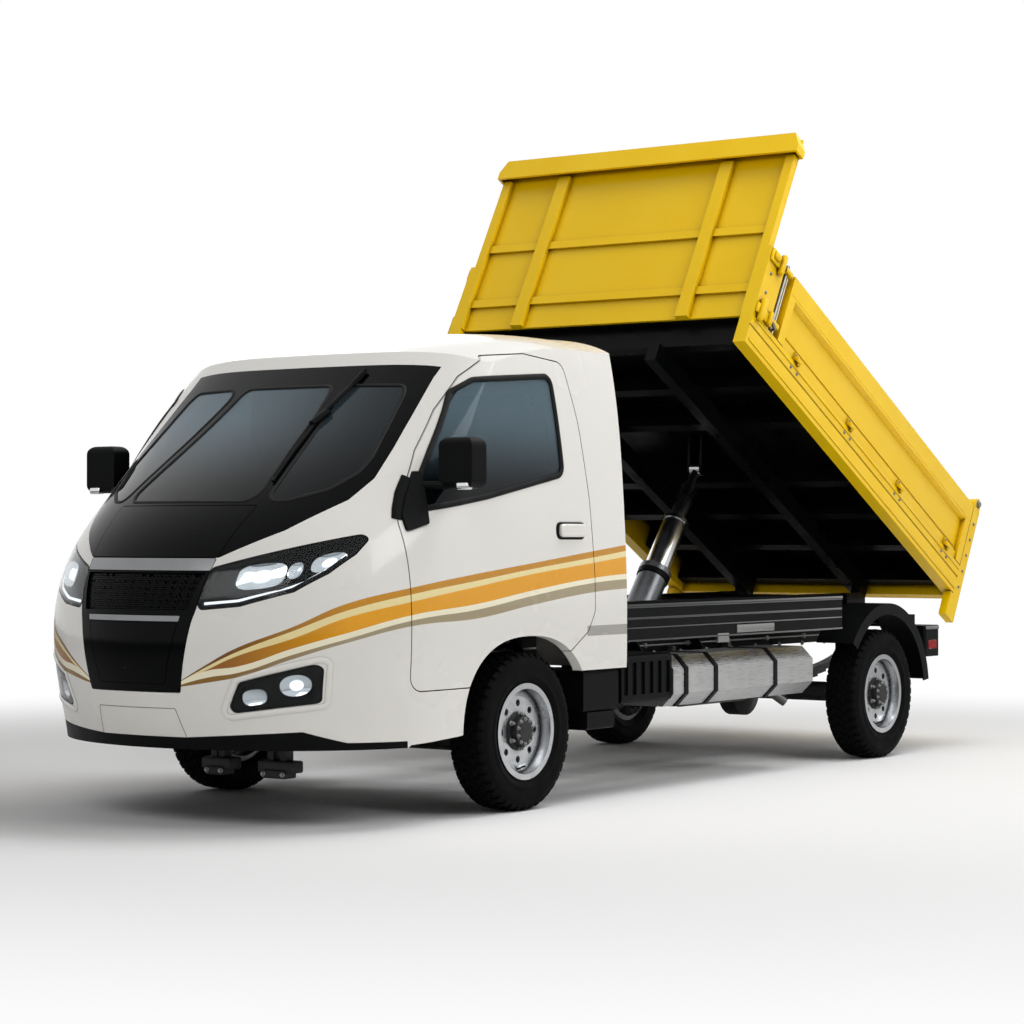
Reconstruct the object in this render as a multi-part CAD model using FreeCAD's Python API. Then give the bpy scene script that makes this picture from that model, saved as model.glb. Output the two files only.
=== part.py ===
import FreeCAD, Part
import math
import os

os.makedirs("parts", exist_ok=True)

Vector = FreeCAD.Vector

# A forward-control light tipper. While the pieces are made, y is zero at the front axle and grows
# towards the tail, x grows towards the truck's left side, and z is zero on the ground.

# Wheels and running gear
wheelbase = 3300.0
track_half = 805.0
tyre_radius = 342.0
tyre_width = 190.0
tyre_tread_width = 156.0
tyre_wall_radius = 272.0
tyre_bead_width = 152.0
rim_seat_radius = 192.0
rim_flange_radius = 208.0
rim_flange_thickness = 9.0
rim_barrel_thickness = 8.0
rim_disc_inner = 18.0
rim_disc_edge = 30.0
rim_disc_outer = 40.0
rim_disc_radius = 150.0
rim_hub_radius = 62.0
rim_hub_reach = 76.0
rim_bore_reach = 64.0
hand_hole_count = 8
hand_hole_radius = 15.0
hand_hole_circle = 122.0
running_clearance = 0.05
spindle_radius = 28.0
spindle_end_gap = 4.0
shoulder_radius = 45.0
shoulder_gap = 3.0
brake_radius = 142.0
brake_thickness = 22.0
brake_gap = 16.0
kingpin_inset = 95.0
kingpin_radius = 17.0
kingpin_over = 6.0
boss_radius = 34.0
boss_height = 84.0
fork_gap = 1.0
fork_thickness = 26.0
fork_reach = 40.0
fork_width = 74.0
beam_height = 70.0
beam_width = 64.0
beam_web = 20.0
beam_flange = 12.0
beam_drop = 62.0
beam_end_length = 55.0
beam_straight_half = 520.0
beam_bend_length = 80.0
beam_radius = 40.0
steering_arm_reach = 120.0
steering_arm_thickness = 18.0
steering_arm_radius = 22.0
tie_rod_radius = 13.0
tie_rod_eye_radius = 22.0
tie_rod_eye_height = 24.0
tie_rod_gap = 3.0
tie_rod_pin_radius = 10.0
tie_rod_pin_over = 5.0
axle_tube_radius = 52.0
axle_tube_end = 720.0
differential_radius = 148.0
differential_width = 190.0
pinion_radius = 54.0
pinion_reach = 250.0
prop_shaft_radius = 34.0
leaf_width = 60.0
leaf_thickness = 11.0
front_leaf_count = 4
rear_leaf_count = 5
leaf_step_share = 0.17
spring_half_length = 540.0
spring_arch = 90.0
spring_eye_radius = 24.0
spring_pin_radius = 12.0
spring_seat = 8.0
hanger_gap = 2.0
hanger_thickness = 8.0
hanger_length = 60.0
clamp_thickness = 14.0
clamp_bolt_radius = 7.0
clamp_width = 90.0

# Frame, engine and what hangs from it
frame_half_width = 400.0
frame_rail_height = 150.0
frame_rail_width = 64.0
frame_rail_wall = 8.0
frame_bottom = 600.0
frame_front = 1120.0
frame_rear = 3880.0
frame_cross_places = (-1085.0, -700.0, 900.0, 1500.0, 2025.0, 2850.0, 3845.0)
frame_cross_height = 84.0
frame_cross_width = 70.0
cab_mount_radius = 40.0
cab_mount_places = (-900.0, 560.0)
subframe_rail_height = 110.0
subframe_front = 1180.0
subframe_cross_places = (1215.0, 1700.0, 2800.0, 3300.0, 3800.0)
engine_half_width = 200.0
engine_front = 600.0
engine_back = 200.0
engine_bottom = 430.0
engine_top = 790.0
engine_radius = 40.0
engine_mount_length = 80.0
engine_mount_height = 50.0
engine_mount_rise = 210.0
gearbox_radius = 130.0
gearbox_end_radius = 75.0
gearbox_back = 700.0
gearbox_axis = 566.0
muffler_radius = 70.0
muffler_x = 480.0
muffler_z = 400.0
muffler_front = 1900.0
muffler_back = 2500.0
exhaust_radius = 25.0
exhaust_start_x = 100.0
exhaust_turn_y = 760.0
exhaust_end = 2720.0
exhaust_bend = 90.0
exhaust_hanger_length = 30.0
tank_inner = 560.0
tank_outer = 900.0
tank_front = 1178.0
tank_back = 2512.0
tank_bottom = 383.0
tank_top = 622.0
tank_chamfer = 62.0
tank_strap_places = (1290.0, 1560.0, 2130.0)
tank_strap_width = 32.0
tank_strap_thickness = 4.0
bracket_thickness = 12.0
battery_front = 750.0
battery_back = 1178.0
battery_bottom = 420.0
battery_top = 640.0
battery_rib_count = 6
battery_rib_depth = 10.0
locker_front = 440.0
locker_back = 724.0
locker_bottom = 396.0
locker_top = 580.0
step_front = 470.0
step_back = 690.0
step_bottom = 317.0
side_box_outer = 890.0
side_box_radius = 18.0
skirt_inner = 880.0
skirt_outer = 905.0
skirt_front = 760.0
skirt_back = 2815.0
skirt_bottom = 700.0
skirt_top = 870.0
skirt_lip = 45.0
skirt_wall = 6.0
skirt_arm_places = (830.0, 1500.0, 2200.0, 2760.0)
skirt_arm_radius = 20.0
intake_x = 830.0
intake_y = 800.0
intake_radius = 34.0
intake_top = 1323.0
guard_radius = 481.0
guard_wall = 6.0
guard_flange = 60.0
guard_inner = 700.0
guard_outer = 920.0
guard_front_angle = 36.0
guard_rear_angle = 173.0
guard_arm_angles = (52.0, 128.0)
guard_arm_radius = 16.0
lamp_box_inner = 760.0
lamp_box_outer = 900.0
lamp_box_front = 3775.0
lamp_box_back = 3950.0
lamp_box_bottom = 520.0
lamp_box_top = 690.0
tail_lens_depth = 8.0
rear_bar_depth = 50.0
rear_bar_height = 70.0

# Tipping gear
hinge_y = 3950.0
hinge_drop = 45.0
hinge_shaft_radius = 22.0
hinge_plate_thickness = 16.0
hinge_plate_radius = 46.0
hinge_plate_length = 170.0
ear_thickness = 32.0
ear_gap = 6.0
bed_tilt = 29.0
cylinder_base_y = 2100.0
cylinder_base_z = 560.0
cylinder_eye_reach = 1300.0
cylinder_eye_drop = 155.0
cylinder_closed = 628.0
barrel_radius = 80.0
barrel_foot = 50.0
barrel_floor = 12.0
barrel_top = 560.0
collar_height = 30.0
collar_step = 7.0
stage_radius = 66.0
stage_foot = 70.0
stage_collar_height = 18.0
rod_radius = 44.0
rod_foot = 90.0
rod_neck = 90.0
cylinder_neck_radius = 26.0
cylinder_eye_radius = 38.0
cylinder_eye_width = 60.0
cylinder_pin_radius = 20.0
cylinder_pin_head = 10.0
cylinder_plate_thickness = 14.0
cylinder_plate_gap = 6.0
loose_gap = 0.3

# Bed, measured forward of its hinge and up from it with the bed down
bed_length = 2522.0
bed_half_width = 925.0
bed_tail = 160.0
bed_floor_tail = 109.0
bed_sill_tail = 60.0
bed_sill_height = 97.0
bed_cross_height = 120.0
bed_cross_width = 60.0
bed_cross_shares = (-0.02, 0.14, 0.28, 0.42, 0.66, 0.80, 0.955)
bed_floor_thickness = 8.0
bed_rail_height = 171.0
bed_rail_width = 70.0
bed_groove_depth = 9.0
bed_groove_height = 12.0
bed_groove_share = 0.56
bed_gap = 5.0
gate_height = 375.0
gate_thickness = 40.0
gate_skin = 14.0
gate_flange_height = 112.0
gate_flange_slope = 16.0
gate_foot_height = 46.0
gate_foot_inset = 12.0
gate_end_width = 60.0
gate_front = 2255.0
gate_hinge_radius = 9.0
gate_hinge_pin = 4.0
gate_hinge_length = 44.0
gate_hinge_count = 4
gate_hinge_inset_share = 0.09
gate_hinge_reach = 15.0
headboard_height = 1054.0
headboard_depth = 45.0
headboard_skin = 14.0
headboard_inset = 25.0
headboard_cap_height = 112.0
headboard_cap_reach = 48.0
headboard_cap_chamfer = 70.0
headboard_edge_width = 50.0
corner_post_depth = 160.0
corner_post_width = 50.0
corner_post_height = 388.0
corner_web = 10.0
rib_width = 72.0
rib_depth = 30.0
rib_place_share = 0.56
cross_rib_height = 46.0
cross_rib_shares = (0.13, 0.46)
rear_post_length = 75.0
rear_post_width = 45.0
rear_post_rise = 65.0
rear_post_drop = 148.0
tailgate_thickness = 46.0
tailgate_skin = 14.0
tailgate_drop = 170.0
tailgate_pin_radius = 15.0
tailgate_pin_rise = 34.0
tailgate_ear_width = 40.0
tailgate_ear_radius = 30.0
tailgate_rib_count = 3

# Cab skin
cab_half_width = 925.0
cab_height = 2110.0
nose_reach = 1527.0
cab_back = 741.0
wall = 50.0
roof_thickness = 40.0
roof_crown = 36.0
roof_shoulder = 52.0
roof_half_width = 820.0
panel_gap = 5.0
seam_gap = 3.0
glass_recess = 3.0
glass_thickness = 6.0
cab_floor_top = 840.0
cab_floor_thickness = 36.0
arch_half_length = 470.0
arch_rise = 412.0
arch_setback = -25.0
arch_power = 2.4
overrun = 60.0
arch_point_count = 25
bow_angles = [math.pi * step / 12 for step in range(13)]
roof_steps = [step / 5 - 1 for step in range(11)]
arc_room_share = 0.45
edge_radius = 12.0
door_corner_radius = 60.0
window_radius = 40.0
panel_radius = 8.0
lamp_radius = 22.0
low_strip_radius = 4.0
panel_line_depth = 4.0
frame_notch_gap = 60.0
door_inner_share = 0.4
wheel_opening_inner_share = 0.6
front_depth_share = 0.95
lamp_depth = 34.0
lamp_rim = 9.0
lens_thickness = 5.0
liner_thickness = 8.0
liner_back = -250.0
sliver_side = 20.0
door_hinge_inset = 25.0
door_hinge_setback = 45.0
door_hinge_radius = 7.0
door_hinge_depth = 25.0
door_hinge_over = 15.0
grille_recess = 14.0
grille_thickness = 16.0
grille_row_count = 6
grille_column_count = 14
grille_slot_share = 0.62
grille_bar_width = 12.0
grille_rim = 16.0

# Cabin
door_inner_gap = 12.0
door_heel_room = 100.0
door_heel_length = 95.0
step_length = 330.0
step_depth = 200.0
step_height = 372.0
step_thickness = 6.0
step_setback = 35.0
dashboard_radius = 40.0
dashboard_front_half = 395.0
dashboard_back_half = 640.0
firewall_radius = 4.0
driver_x = 400.0
steering_wheel_y = -560.0
steering_wheel_z = 1265.0
steering_wheel_radius = 200.0
steering_rim_radius = 15.0
steering_rim_sides = 8
steering_hub_radius = 34.0
steering_spoke_radius = 11.0
steering_spoke_count = 3
steering_column_length = 330.0
steering_column_angle = 42.0
seat_width = 500.0
seat_front = -180.0
seat_depth = 620.0
seat_height = 1000.0
seat_radius = 45.0
mirror_x = 1000.0
mirror_y = -610.0
mirror_z = 1482.0
mirror_width = 170.0
mirror_depth = 100.0
mirror_height = 212.0
mirror_radius = 40.0
mirror_edge_radius = 30.0
mirror_arm_radius = 16.0
mirror_arm_x = 785.0
mirror_arm_y = -712.0
mirror_arm_rise = 16.0
mirror_foot_thickness = 12.0
mirror_foot_radius = 8.0

# Height, nose reach, start of the straight side and half width of each level of the cab's skin,
# as shares of the cab's height, the nose's reach, the nose's reach and the cab's half width
cab_level_shares = (
    (0.14, 0.922, 0.458, 0.993),
    (0.33, 1.000, 0.458, 1.000),
    (0.52, 0.935, 0.416, 0.995),
    (0.62, 0.805, 0.324, 0.983),
    (0.71, 0.630, 0.275, 0.970),
    (0.84, 0.388, 0.185, 0.940),
    (1.03, 0.049, -0.026, 0.850),
)

# Place along the cab and height of the roof's middle line, as shares of the nose's reach and
# the cab's height
roof_line_shares = (
    (-1.05, 0.711),
    (-0.59, 0.851),
    (-0.216, 0.941),
    (-0.065, 0.969),
    (0.065, 0.987),
    (0.23, 0.997),
    (0.52, 1.000),
)

# Outlines on the cab's side: place along the cab from its nose and height, as shares of the cab's
# length and the cab's height
door_outline_shares = (
    (0.305, 0.263),
    (0.305, 0.588),
    (0.325, 0.630),
    (0.388, 0.727),
    (0.457, 0.810),
    (0.527, 0.880),
    (0.590, 0.925),
    (0.695, 0.934),
    (0.822, 0.922),
    (0.852, 0.800),
    (0.876, 0.636),
    (0.885, 0.474),
    (0.885, 0.402),
    (0.862, 0.362),
    (0.795, 0.318),
    (0.740, 0.263),
)
door_window_shares = (
    (0.332, 0.612),
    (0.413, 0.730),
    (0.497, 0.846),
    (0.540, 0.8715),
    (0.771, 0.8896),
    (0.786, 0.691),
    (0.534, 0.642),
)
front_zone_shares = (
    (-0.100, 0.080),
    (0.304, 0.080),
    (0.304, 0.588),
    (0.331, 0.638),
    (0.276, 0.673),
    (-0.100, 0.673),
)
cab_underside_shares = (
    (-0.100, 0.050),
    (-0.100, 0.155),
    (0.304, 0.155),
    (0.310, 0.160),
    (0.440, 0.168),
    (0.700, 0.200),
    (0.840, 0.279),
    (1.200, 0.279),
    (1.200, 0.050),
)
seat_shares = (
    (0.00, 0.00),
    (0.02, 0.36),
    (0.60, 0.33),
    (0.78, 0.80),
    (0.80, 1.00),
    (0.92, 1.00),
    (0.96, 0.80),
    (0.84, 0.30),
    (0.84, 0.00),
)
dashboard_shares = (
    (0.130, 0.470),
    (0.185, 0.602),
    (0.285, 0.608),
    (0.355, 0.575),
    (0.372, 0.520),
    (0.330, 0.470),
)
firewall_shares = (
    (0.165, 0.3985),
    (0.165, 0.470),
    (0.190, 0.470),
    (0.190, 0.3985),
)

# Outlines on the cab's front, from the middle line: place across and height, as shares of the
# cab's half width and height
black_zone_shares = (
    (0.377, 0.521),
    (0.586, 0.5725),
    (0.735, 0.631),
    (0.771, 0.673),
    (0.766, 0.731),
    (0.751, 0.806),
    (0.735, 0.878),
    (0.742, 0.960),
)
hood_shares = (
    (0.372, 0.521),
    (0.405, 0.6195),
)
screen_shares = (
    (0.373, 0.630),
    (0.262, 0.8635),
)
quarter_shares = (
    (0.434, 0.630),
    (0.520, 0.632),
    (0.641, 0.652),
    (0.700, 0.684),
    (0.708, 0.713),
    (0.655, 0.840),
    (0.630, 0.861),
    (0.326, 0.8635),
)
strip_shares = (
    (0.362, 0.4955),
    (0.369, 0.5185),
)
grille_shares = (
    (0.3035, 0.4190),
    (0.350, 0.4915),
)
surround_shares = (
    (0.262, 0.2655),
    (0.322, 0.398),
    (0.3375, 0.4213),
    (0.361, 0.4935),
)
headlamp_shares = (
    (0.3425, 0.4213),
    (0.366, 0.5000),
    (0.843, 0.564),
    (0.865, 0.5545),
    (0.849, 0.526),
    (0.795, 0.4905),
    (0.703, 0.456),
    (0.519, 0.429),
)
fog_lamp_shares = (
    (0.455, 0.226),
    (0.519, 0.285),
    (0.805, 0.322),
    (0.783, 0.247),
)
bumper_top_shares = (
    (0.262, 0.262),
    (0.440, 0.2215),
    (0.783, 0.2425),
    (1.200, 0.252),
)
liner_bar_shares = (
    (0.225, 0.275),
    (0.378, 0.402),
    (0.490, 0.530),
    (0.600, 0.628),
)
lip_top_shares = (
    (0.242, 0.1773),
    (0.712, 0.1900),
    (0.840, 0.1678),
    (1.200, 0.1650),
)
plate_panel_shares = (
    (0.256, 0.1650),
    (0.226, 0.2346),
)
low_panel_shares = (
    (0.193, 0.2800),
    (0.262, 0.3965),
)
low_strip_shares = (
    (0.264, 0.3995),
    (0.270, 0.4100),
)
mirror_foot_shares = (
    (0.313, 0.570),
    (0.313, 0.602),
    (0.334, 0.640),
    (0.364, 0.687),
    (0.374, 0.687),
    (0.362, 0.585),
)
rear_window_shares = (
    (0.580, 0.650),
    (0.560, 0.850),
)


def box(x_low, x_high, y_low, y_high, z_low, z_high):
    corner = Vector(x_low, y_low, z_low)
    return Part.makeBox(x_high - x_low, y_high - y_low, z_high - z_low, corner)


def rod(start, axis, radius, length):
    return Part.makeCylinder(radius, length, start, axis)


def across(x, y, z, radius, length):
    return rod(Vector(x, y, z), Vector(1, 0, 0), radius, length)


def join(shapes):
    first = shapes[0]
    if len(shapes) > 1:
        first = first.multiFuse(list(shapes[1:])).removeSplitter()
    return first


def group(shapes):
    solids = []
    for shape in shapes:
        solids.extend(shape.Solids)
    return Part.makeCompound(solids)


def mirrored(shape):
    return shape.mirror(Vector(0, 0, 0), Vector(1, 0, 0))


def rounded_face(points, radius):
    edges = []
    count = len(points)
    ends = []
    for index, corner in enumerate(points):
        back = points[index - 1] - corner
        ahead = points[(index + 1) % count] - corner
        half_angle = back.getAngle(ahead) / 2
        reach = radius / math.tan(half_angle)
        reach = min(reach, back.Length * arc_room_share, ahead.Length * arc_room_share)
        fitted = reach * math.tan(half_angle)
        back.normalize()
        ahead.normalize()
        middle = back + ahead
        middle.normalize()
        bulge = fitted / math.sin(half_angle) - fitted
        start = corner + back * reach
        end = corner + ahead * reach
        edges.append(Part.Arc(start, corner + middle * bulge, end).toShape())
        ends.append((start, end))
    for index in range(count):
        start = ends[index - 1][1]
        end = ends[index][0]
        edges.append(Part.makeLine(start, end))
    return Part.Face(Part.Wire(Part.__sortEdges__(edges)))


def side_point(place_share, height_share):
    y = -nose_reach + place_share * (nose_reach + cab_back)
    return Vector(0, y, height_share * cab_height)


def side_block(shares, radius, x_low, x_high):
    face = rounded_face([side_point(*pair) for pair in shares], radius)
    face.translate(Vector(x_low, 0, 0))
    return face.extrude(Vector(x_high - x_low, 0, 0))


def front_point(place_share, height_share):
    return Vector(place_share * cab_half_width, 0, height_share * cab_height)


def front_block(shares, radius, y_low, y_high):
    face = rounded_face([front_point(*pair) for pair in shares], radius)
    face.translate(Vector(0, y_low, 0))
    return face.extrude(Vector(0, y_high - y_low, 0))


def across_middle(shares):
    other = [(-place, height) for place, height in reversed(shares)]
    return list(shares) + other


def grown(face, distance):
    return face.makeOffset2D(distance)


def grown_block(shares, radius, distance, point, direction, start):
    face = rounded_face([point(*pair) for pair in shares], radius)
    face = grown(face, distance)
    face.translate(start)
    return face.extrude(direction)


def cab_level(height_share, nose_share, start_share, width_share, inset):
    z = cab_height * height_share
    half = cab_half_width * width_share - inset
    start = -nose_reach * start_share
    reach = nose_reach * nose_share - inset + start
    back = cab_back - inset
    bow = []
    for angle in bow_angles:
        bow.append(Vector(half * math.cos(angle), start - reach * math.sin(angle), z))
    curve = Part.BSplineCurve()
    curve.interpolate(Points=bow, Parameters=bow_angles, InitialTangent=Vector(0, -reach, 0),
                      FinalTangent=Vector(0, reach, 0), Scale=False)
    near_side = Part.makeLine(Vector(half, back, z), Vector(half, start, z))
    far_side = Part.makeLine(Vector(-half, start, z), Vector(-half, back, z))
    tail = Part.makeLine(Vector(-half, back, z), Vector(half, back, z))
    return Part.Wire([near_side, curve.toShape(), far_side, tail])


def cab_hull(inset, straight=False):
    levels = [cab_level(*shares, inset) for shares in cab_level_shares]
    return Part.makeLoft(levels, True, straight)


def roof_line(place_share, height_share, drop):
    y = nose_reach * place_share
    top = cab_height * height_share - drop
    reach = cab_half_width + overrun
    low = cab_height * cab_level_shares[0][0] - overrun
    bow = []
    for step in roof_steps:
        x = reach * step
        share = x / roof_half_width
        fall = roof_crown * share ** 2 + roof_shoulder * share ** 6
        bow.append(Vector(x, y, top - fall))
    curve = Part.BSplineCurve()
    curve.interpolate(Points=bow, Parameters=roof_steps)
    left = Part.makeLine(bow[-1], Vector(reach, y, low))
    floor = Part.makeLine(Vector(reach, y, low), Vector(-reach, y, low))
    right = Part.makeLine(Vector(-reach, y, low), bow[0])
    return Part.Wire([curve.toShape(), left, floor, right])


def under_roof(drop, straight=False):
    return Part.makeLoft([roof_line(*shares, drop) for shares in roof_line_shares], True, straight)


def wheel_opening(distance):
    half = arch_half_length + distance
    rise = arch_rise + distance
    points = []
    for index in range(arch_point_count):
        angle = math.pi * index / (arch_point_count - 1)
        cosine = math.cos(angle)
        reach = math.copysign(abs(cosine) ** (2 / arch_power), cosine)
        height = math.sin(angle) ** (2 / arch_power)
        points.append(Vector(0, arch_setback - half * reach, tyre_radius + rise * height))
    curve = Part.BSplineCurve()
    curve.interpolate(Points=points)
    low = cab_height * cab_level_shares[0][0] - overrun
    front = Part.makeLine(Vector(0, points[0].y, low), points[0])
    rear = Part.makeLine(points[-1], Vector(0, points[-1].y, low))
    base = Part.makeLine(Vector(0, points[-1].y, low), Vector(0, points[0].y, low))
    face = Part.Face(Part.Wire([front, curve.toShape(), rear, base]))
    inner = cab_half_width * wheel_opening_inner_share
    face.translate(Vector(inner, 0, 0))
    near = face.extrude(Vector(cab_half_width + overrun - inner, 0, 0))
    return join_pair(near)


def join_pair(near):
    return Part.makeCompound([near, mirrored(near)])


# The cab: one skin, cut into its panels

def cab_skin():
    outer = cab_hull(0).common(under_roof(0))
    inner = cab_hull(wall, True).common(under_roof(roof_thickness, True))
    skin = outer.cut(inner)
    front = -nose_reach - overrun
    reach = cab_half_width + overrun
    skin = skin.cut(side_block(cab_underside_shares, edge_radius, -reach, reach))
    return skin.cut(wheel_opening(0))


def frame_notch():
    # The room in the cab's back wall for the frame rails, the engine and the propeller shaft
    half = frame_half_width + frame_notch_gap
    return box(-half, half, cab_back - wall * 2, cab_back + overrun, 0,
               cab_floor_top - cab_floor_thickness)


def door_cutter(distance):
    low = cab_half_width * door_inner_share
    length = cab_half_width + overrun - low
    near = grown_block(door_outline_shares, door_corner_radius, distance, side_point,
                       Vector(length, 0, 0), Vector(low, 0, 0))
    return join_pair(near)


def front_cutter(shares, radius, distance):
    front = -nose_reach - overrun
    return grown_block(across_middle(shares), radius, distance, front_point,
                       Vector(0, nose_reach * front_depth_share, 0), Vector(0, front, 0))


def paired_front_cutter(shares, radius, distance):
    front = -nose_reach - overrun
    near = grown_block(shares, radius, distance, front_point,
                       Vector(0, nose_reach * front_depth_share, 0), Vector(0, front, 0))
    return join_pair(near)


def black_zone(distance):
    return front_cutter(black_zone_shares, edge_radius, distance).common(under_roof(roof_thickness))


def bumper_zone(top_shares):
    # The nose below an outline and ahead of the doors
    shares = list(top_shares) + [(top_shares[-1][0], 0)]
    whole = [(-place, height) for place, height in reversed(shares)] + shares
    front = -nose_reach - overrun
    return front_block(whole, edge_radius, front, door_seam_y() - panel_gap)


def door_seam_y():
    return side_point(*door_outline_shares[0]).y


def front_zone():
    reach = cab_half_width + overrun
    return side_block(front_zone_shares, edge_radius, -reach, reach)


def layer(recess, thickness):
    return cab_hull(recess).cut(cab_hull(recess + thickness))


def glass(cutter):
    return layer(glass_recess, glass_thickness).common(cutter)


def build_cab(pieces):
    skin = cab_skin()
    cut = {}
    for name, shares, radius in (("hood", hood_shares, panel_radius),
                                 ("screen", screen_shares, window_radius),
                                 ("surround", surround_shares, panel_radius),
                                 ("grille", grille_shares, panel_radius),
                                 ("strip", strip_shares, panel_radius),
                                 ("low_strip", low_strip_shares, low_strip_radius)):
        cut[name] = front_cutter(shares, radius, 0)
        cut[name + "_wide"] = front_cutter(shares, radius, seam_gap)
    for name, shares, radius in (("quarter", quarter_shares, window_radius),
                                 ("headlamp", headlamp_shares, lamp_radius),
                                 ("fog", fog_lamp_shares, lamp_radius)):
        cut[name] = paired_front_cutter(shares, radius, 0)
        cut[name + "_wide"] = paired_front_cutter(shares, radius, seam_gap)
    bumper_cut = bumper_zone(bumper_top_shares)
    lip_cut = bumper_zone(lip_top_shares)
    lip_wide = lip_cut.copy()
    lip_wide.translate(Vector(0, 0, seam_gap))
    rear_cut = rear_window_cutter()
    door_wide = door_cutter(panel_gap)

    body = skin.cut(black_zone(seam_gap)).cut(front_zone()).cut(door_wide).cut(rear_cut)
    body = body.cut(frame_notch())
    solids = sorted(body.Solids, key=lambda solid: solid.Volume)
    pieces["cab_body"] = solids[-1]

    black = skin.common(black_zone(0)).cut(door_wide)
    pieces["hood"] = black.common(cut["hood"])
    windows = [cut["screen"], cut["quarter"]]
    pieces["screen_surround"] = black.cut(cut["hood_wide"]).cut(windows)
    panes = [glass(shape).common(under_roof(roof_thickness)) for shape in windows]
    pieces["screen_glass"] = group(panes + [glass(rear_cut)])

    nose = skin.common(front_zone()).cut(black_zone(seam_gap))
    wide = [cut[name + "_wide"] for name in ("surround", "strip", "headlamp", "fog")]
    fenders = nose.cut(bumper_cut).cut(wide).cut(door_wide)
    pins = [hinge_pin(side, 0) for side in (1, -1)]
    sills = join(solids[:-1] + pins)
    pieces["front_fenders"] = group([fenders, sills])
    openings = [cut["surround_wide"], cut["fog_wide"], lip_wide, panel_line(plate_panel_shares)]
    pieces["bumper"] = nose.common(bumper_cut).cut(openings)
    pieces["bumper_lip"] = nose.common(lip_cut)

    openings = [cut["grille"], cut["low_strip_wide"], panel_line(low_panel_shares)]
    pieces["grille_surround"] = nose.common(cut["surround"]).cut(openings)
    pieces["grille"] = grille_mesh(cut["grille"])
    pieces["nose_strip"] = nose.common(Part.makeCompound([cut["strip"], cut["low_strip"]]))
    lamps = nose.common(Part.makeCompound([cut["headlamp"], cut["fog"]]))
    lens_back = cab_hull(lens_thickness)
    pieces["lamp_lenses"] = lamps.cut(lens_back)
    rooms = [paired_front_cutter(shares, lamp_radius, -lamp_rim)
             for shares in (headlamp_shares, fog_lamp_shares)]
    room = lens_back.cut(cab_hull(lamp_depth)).common(rooms[0])
    other = lens_back.cut(cab_hull(lamp_depth)).common(rooms[1])
    pieces["lamp_housings"] = lamps.common(lens_back).cut([room, other])
    pieces["cab_frame"] = nose_liner([cut["screen"], cut["quarter"], door_wide])

    bores = [hinge_pin(side, running_clearance) for side in (1, -1)]
    doors = skin.common(door_cutter(0)).cut(side_windows()).cut(bores)
    side_panes = glass(side_windows())
    for name, side in (("left", 1), ("right", -1)):
        pieces["door_" + name] = pick_side(doors, side)
        pieces["door_glass_" + name] = pick_side(side_panes, side)
    for name, shape in pieces.items():
        pieces[name] = without_slivers(shape)


def panel_line(shares):
    # The narrow groove pressed around a panel of the nose
    line = front_cutter(shares, panel_radius, 0).cut(front_cutter(shares, panel_radius, -seam_gap))
    return line.cut(cab_hull(panel_line_depth))


def without_slivers(shape):
    return Part.makeCompound([solid for solid in shape.Solids if solid.Volume > sliver_side ** 3])


def nose_liner(openings):
    # The bars inside the nose that the bumper, the lamps, the panels and the floor are fixed to
    shell = cab_hull(wall, True).cut(cab_hull(wall + liner_thickness, True))
    reach = cab_half_width
    bars = [box(-reach, reach, -nose_reach, liner_back, cab_height * low, cab_height * high)
            for low, high in liner_bar_shares]
    shell = shell.common(Part.makeCompound(bars))
    return shell.cut(openings).cut(wheel_opening(0))


def hinge_pin(side, clearance):
    # The pin that a door turns on rises from the sill into the door's foot
    low = side_point(*door_outline_shares[0])
    x = (cab_half_width - door_hinge_inset) * side
    y = low.y + door_hinge_setback
    start = low.z - door_hinge_depth
    return rod(Vector(x, y, start), Vector(0, 0, 1), door_hinge_radius + clearance,
               door_hinge_depth * 2 + door_hinge_over + clearance)


def pick_side(shape, side):
    chosen = [solid for solid in shape.Solids if solid.CenterOfMass.x * side > 0]
    return Part.makeCompound(chosen)


def side_windows():
    low = cab_half_width * door_inner_share
    length = cab_half_width + overrun - low
    near = grown_block(door_window_shares, window_radius, 0, side_point,
                       Vector(length, 0, 0), Vector(low, 0, 0))
    return join_pair(near)


def rear_window_cutter():
    start = Vector(0, cab_back - wall - overrun, 0)
    length = Vector(0, wall + overrun * 2, 0)
    return grown_block(across_middle(rear_window_shares), window_radius, 0, front_point, length,
                       start)


def grille_mesh(cutter):
    slab = cab_hull(grille_recess).cut(cab_hull(grille_recess + grille_thickness, True))
    plate = slab.common(cutter)
    low = grille_shares[0][1] * cab_height
    high = grille_shares[1][1] * cab_height
    pitch = (high - low) / grille_row_count
    front = -nose_reach - overrun
    slots = []
    for row in range(grille_row_count):
        middle = low + pitch * (row + 1 / 2)
        half = pitch * grille_slot_share / 2
        share = (middle - low) / (high - low)
        width = grille_shares[0][0] + (grille_shares[1][0] - grille_shares[0][0]) * share
        reach = width * cab_half_width - grille_rim
        column = 2 * reach / grille_column_count
        for index in range(grille_column_count):
            x = -reach + column * index
            slots.append(box(x + grille_bar_width / 2, x + column - grille_bar_width / 2, front,
                             front + nose_reach * front_depth_share, middle - half, middle + half))
    return plate.cut(slots)


# Cabin

def fitted(shape):
    # What meets the liner ahead of the doors and the wall behind them, and clears the doors
    door_front = door_seam_y()
    door_heel = door_front + door_heel_length
    door_rear = side_point(*max(door_outline_shares)).y + panel_gap * 2
    reach = cab_half_width
    areas = (
        (wall + liner_thickness, -nose_reach, door_front),
        (door_heel_room, door_front, door_heel),
        (wall + door_inner_gap, door_heel, door_rear),
        (wall, door_rear, cab_back),
    )
    parts = []
    for inset, front, back in areas:
        area = box(-reach, reach, front, back, 0, cab_height)
        part = shape.common(area)
        if part.Volume > 0:
            parts.append(part.common(cab_hull(inset, True)))
    return join(parts)


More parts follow.
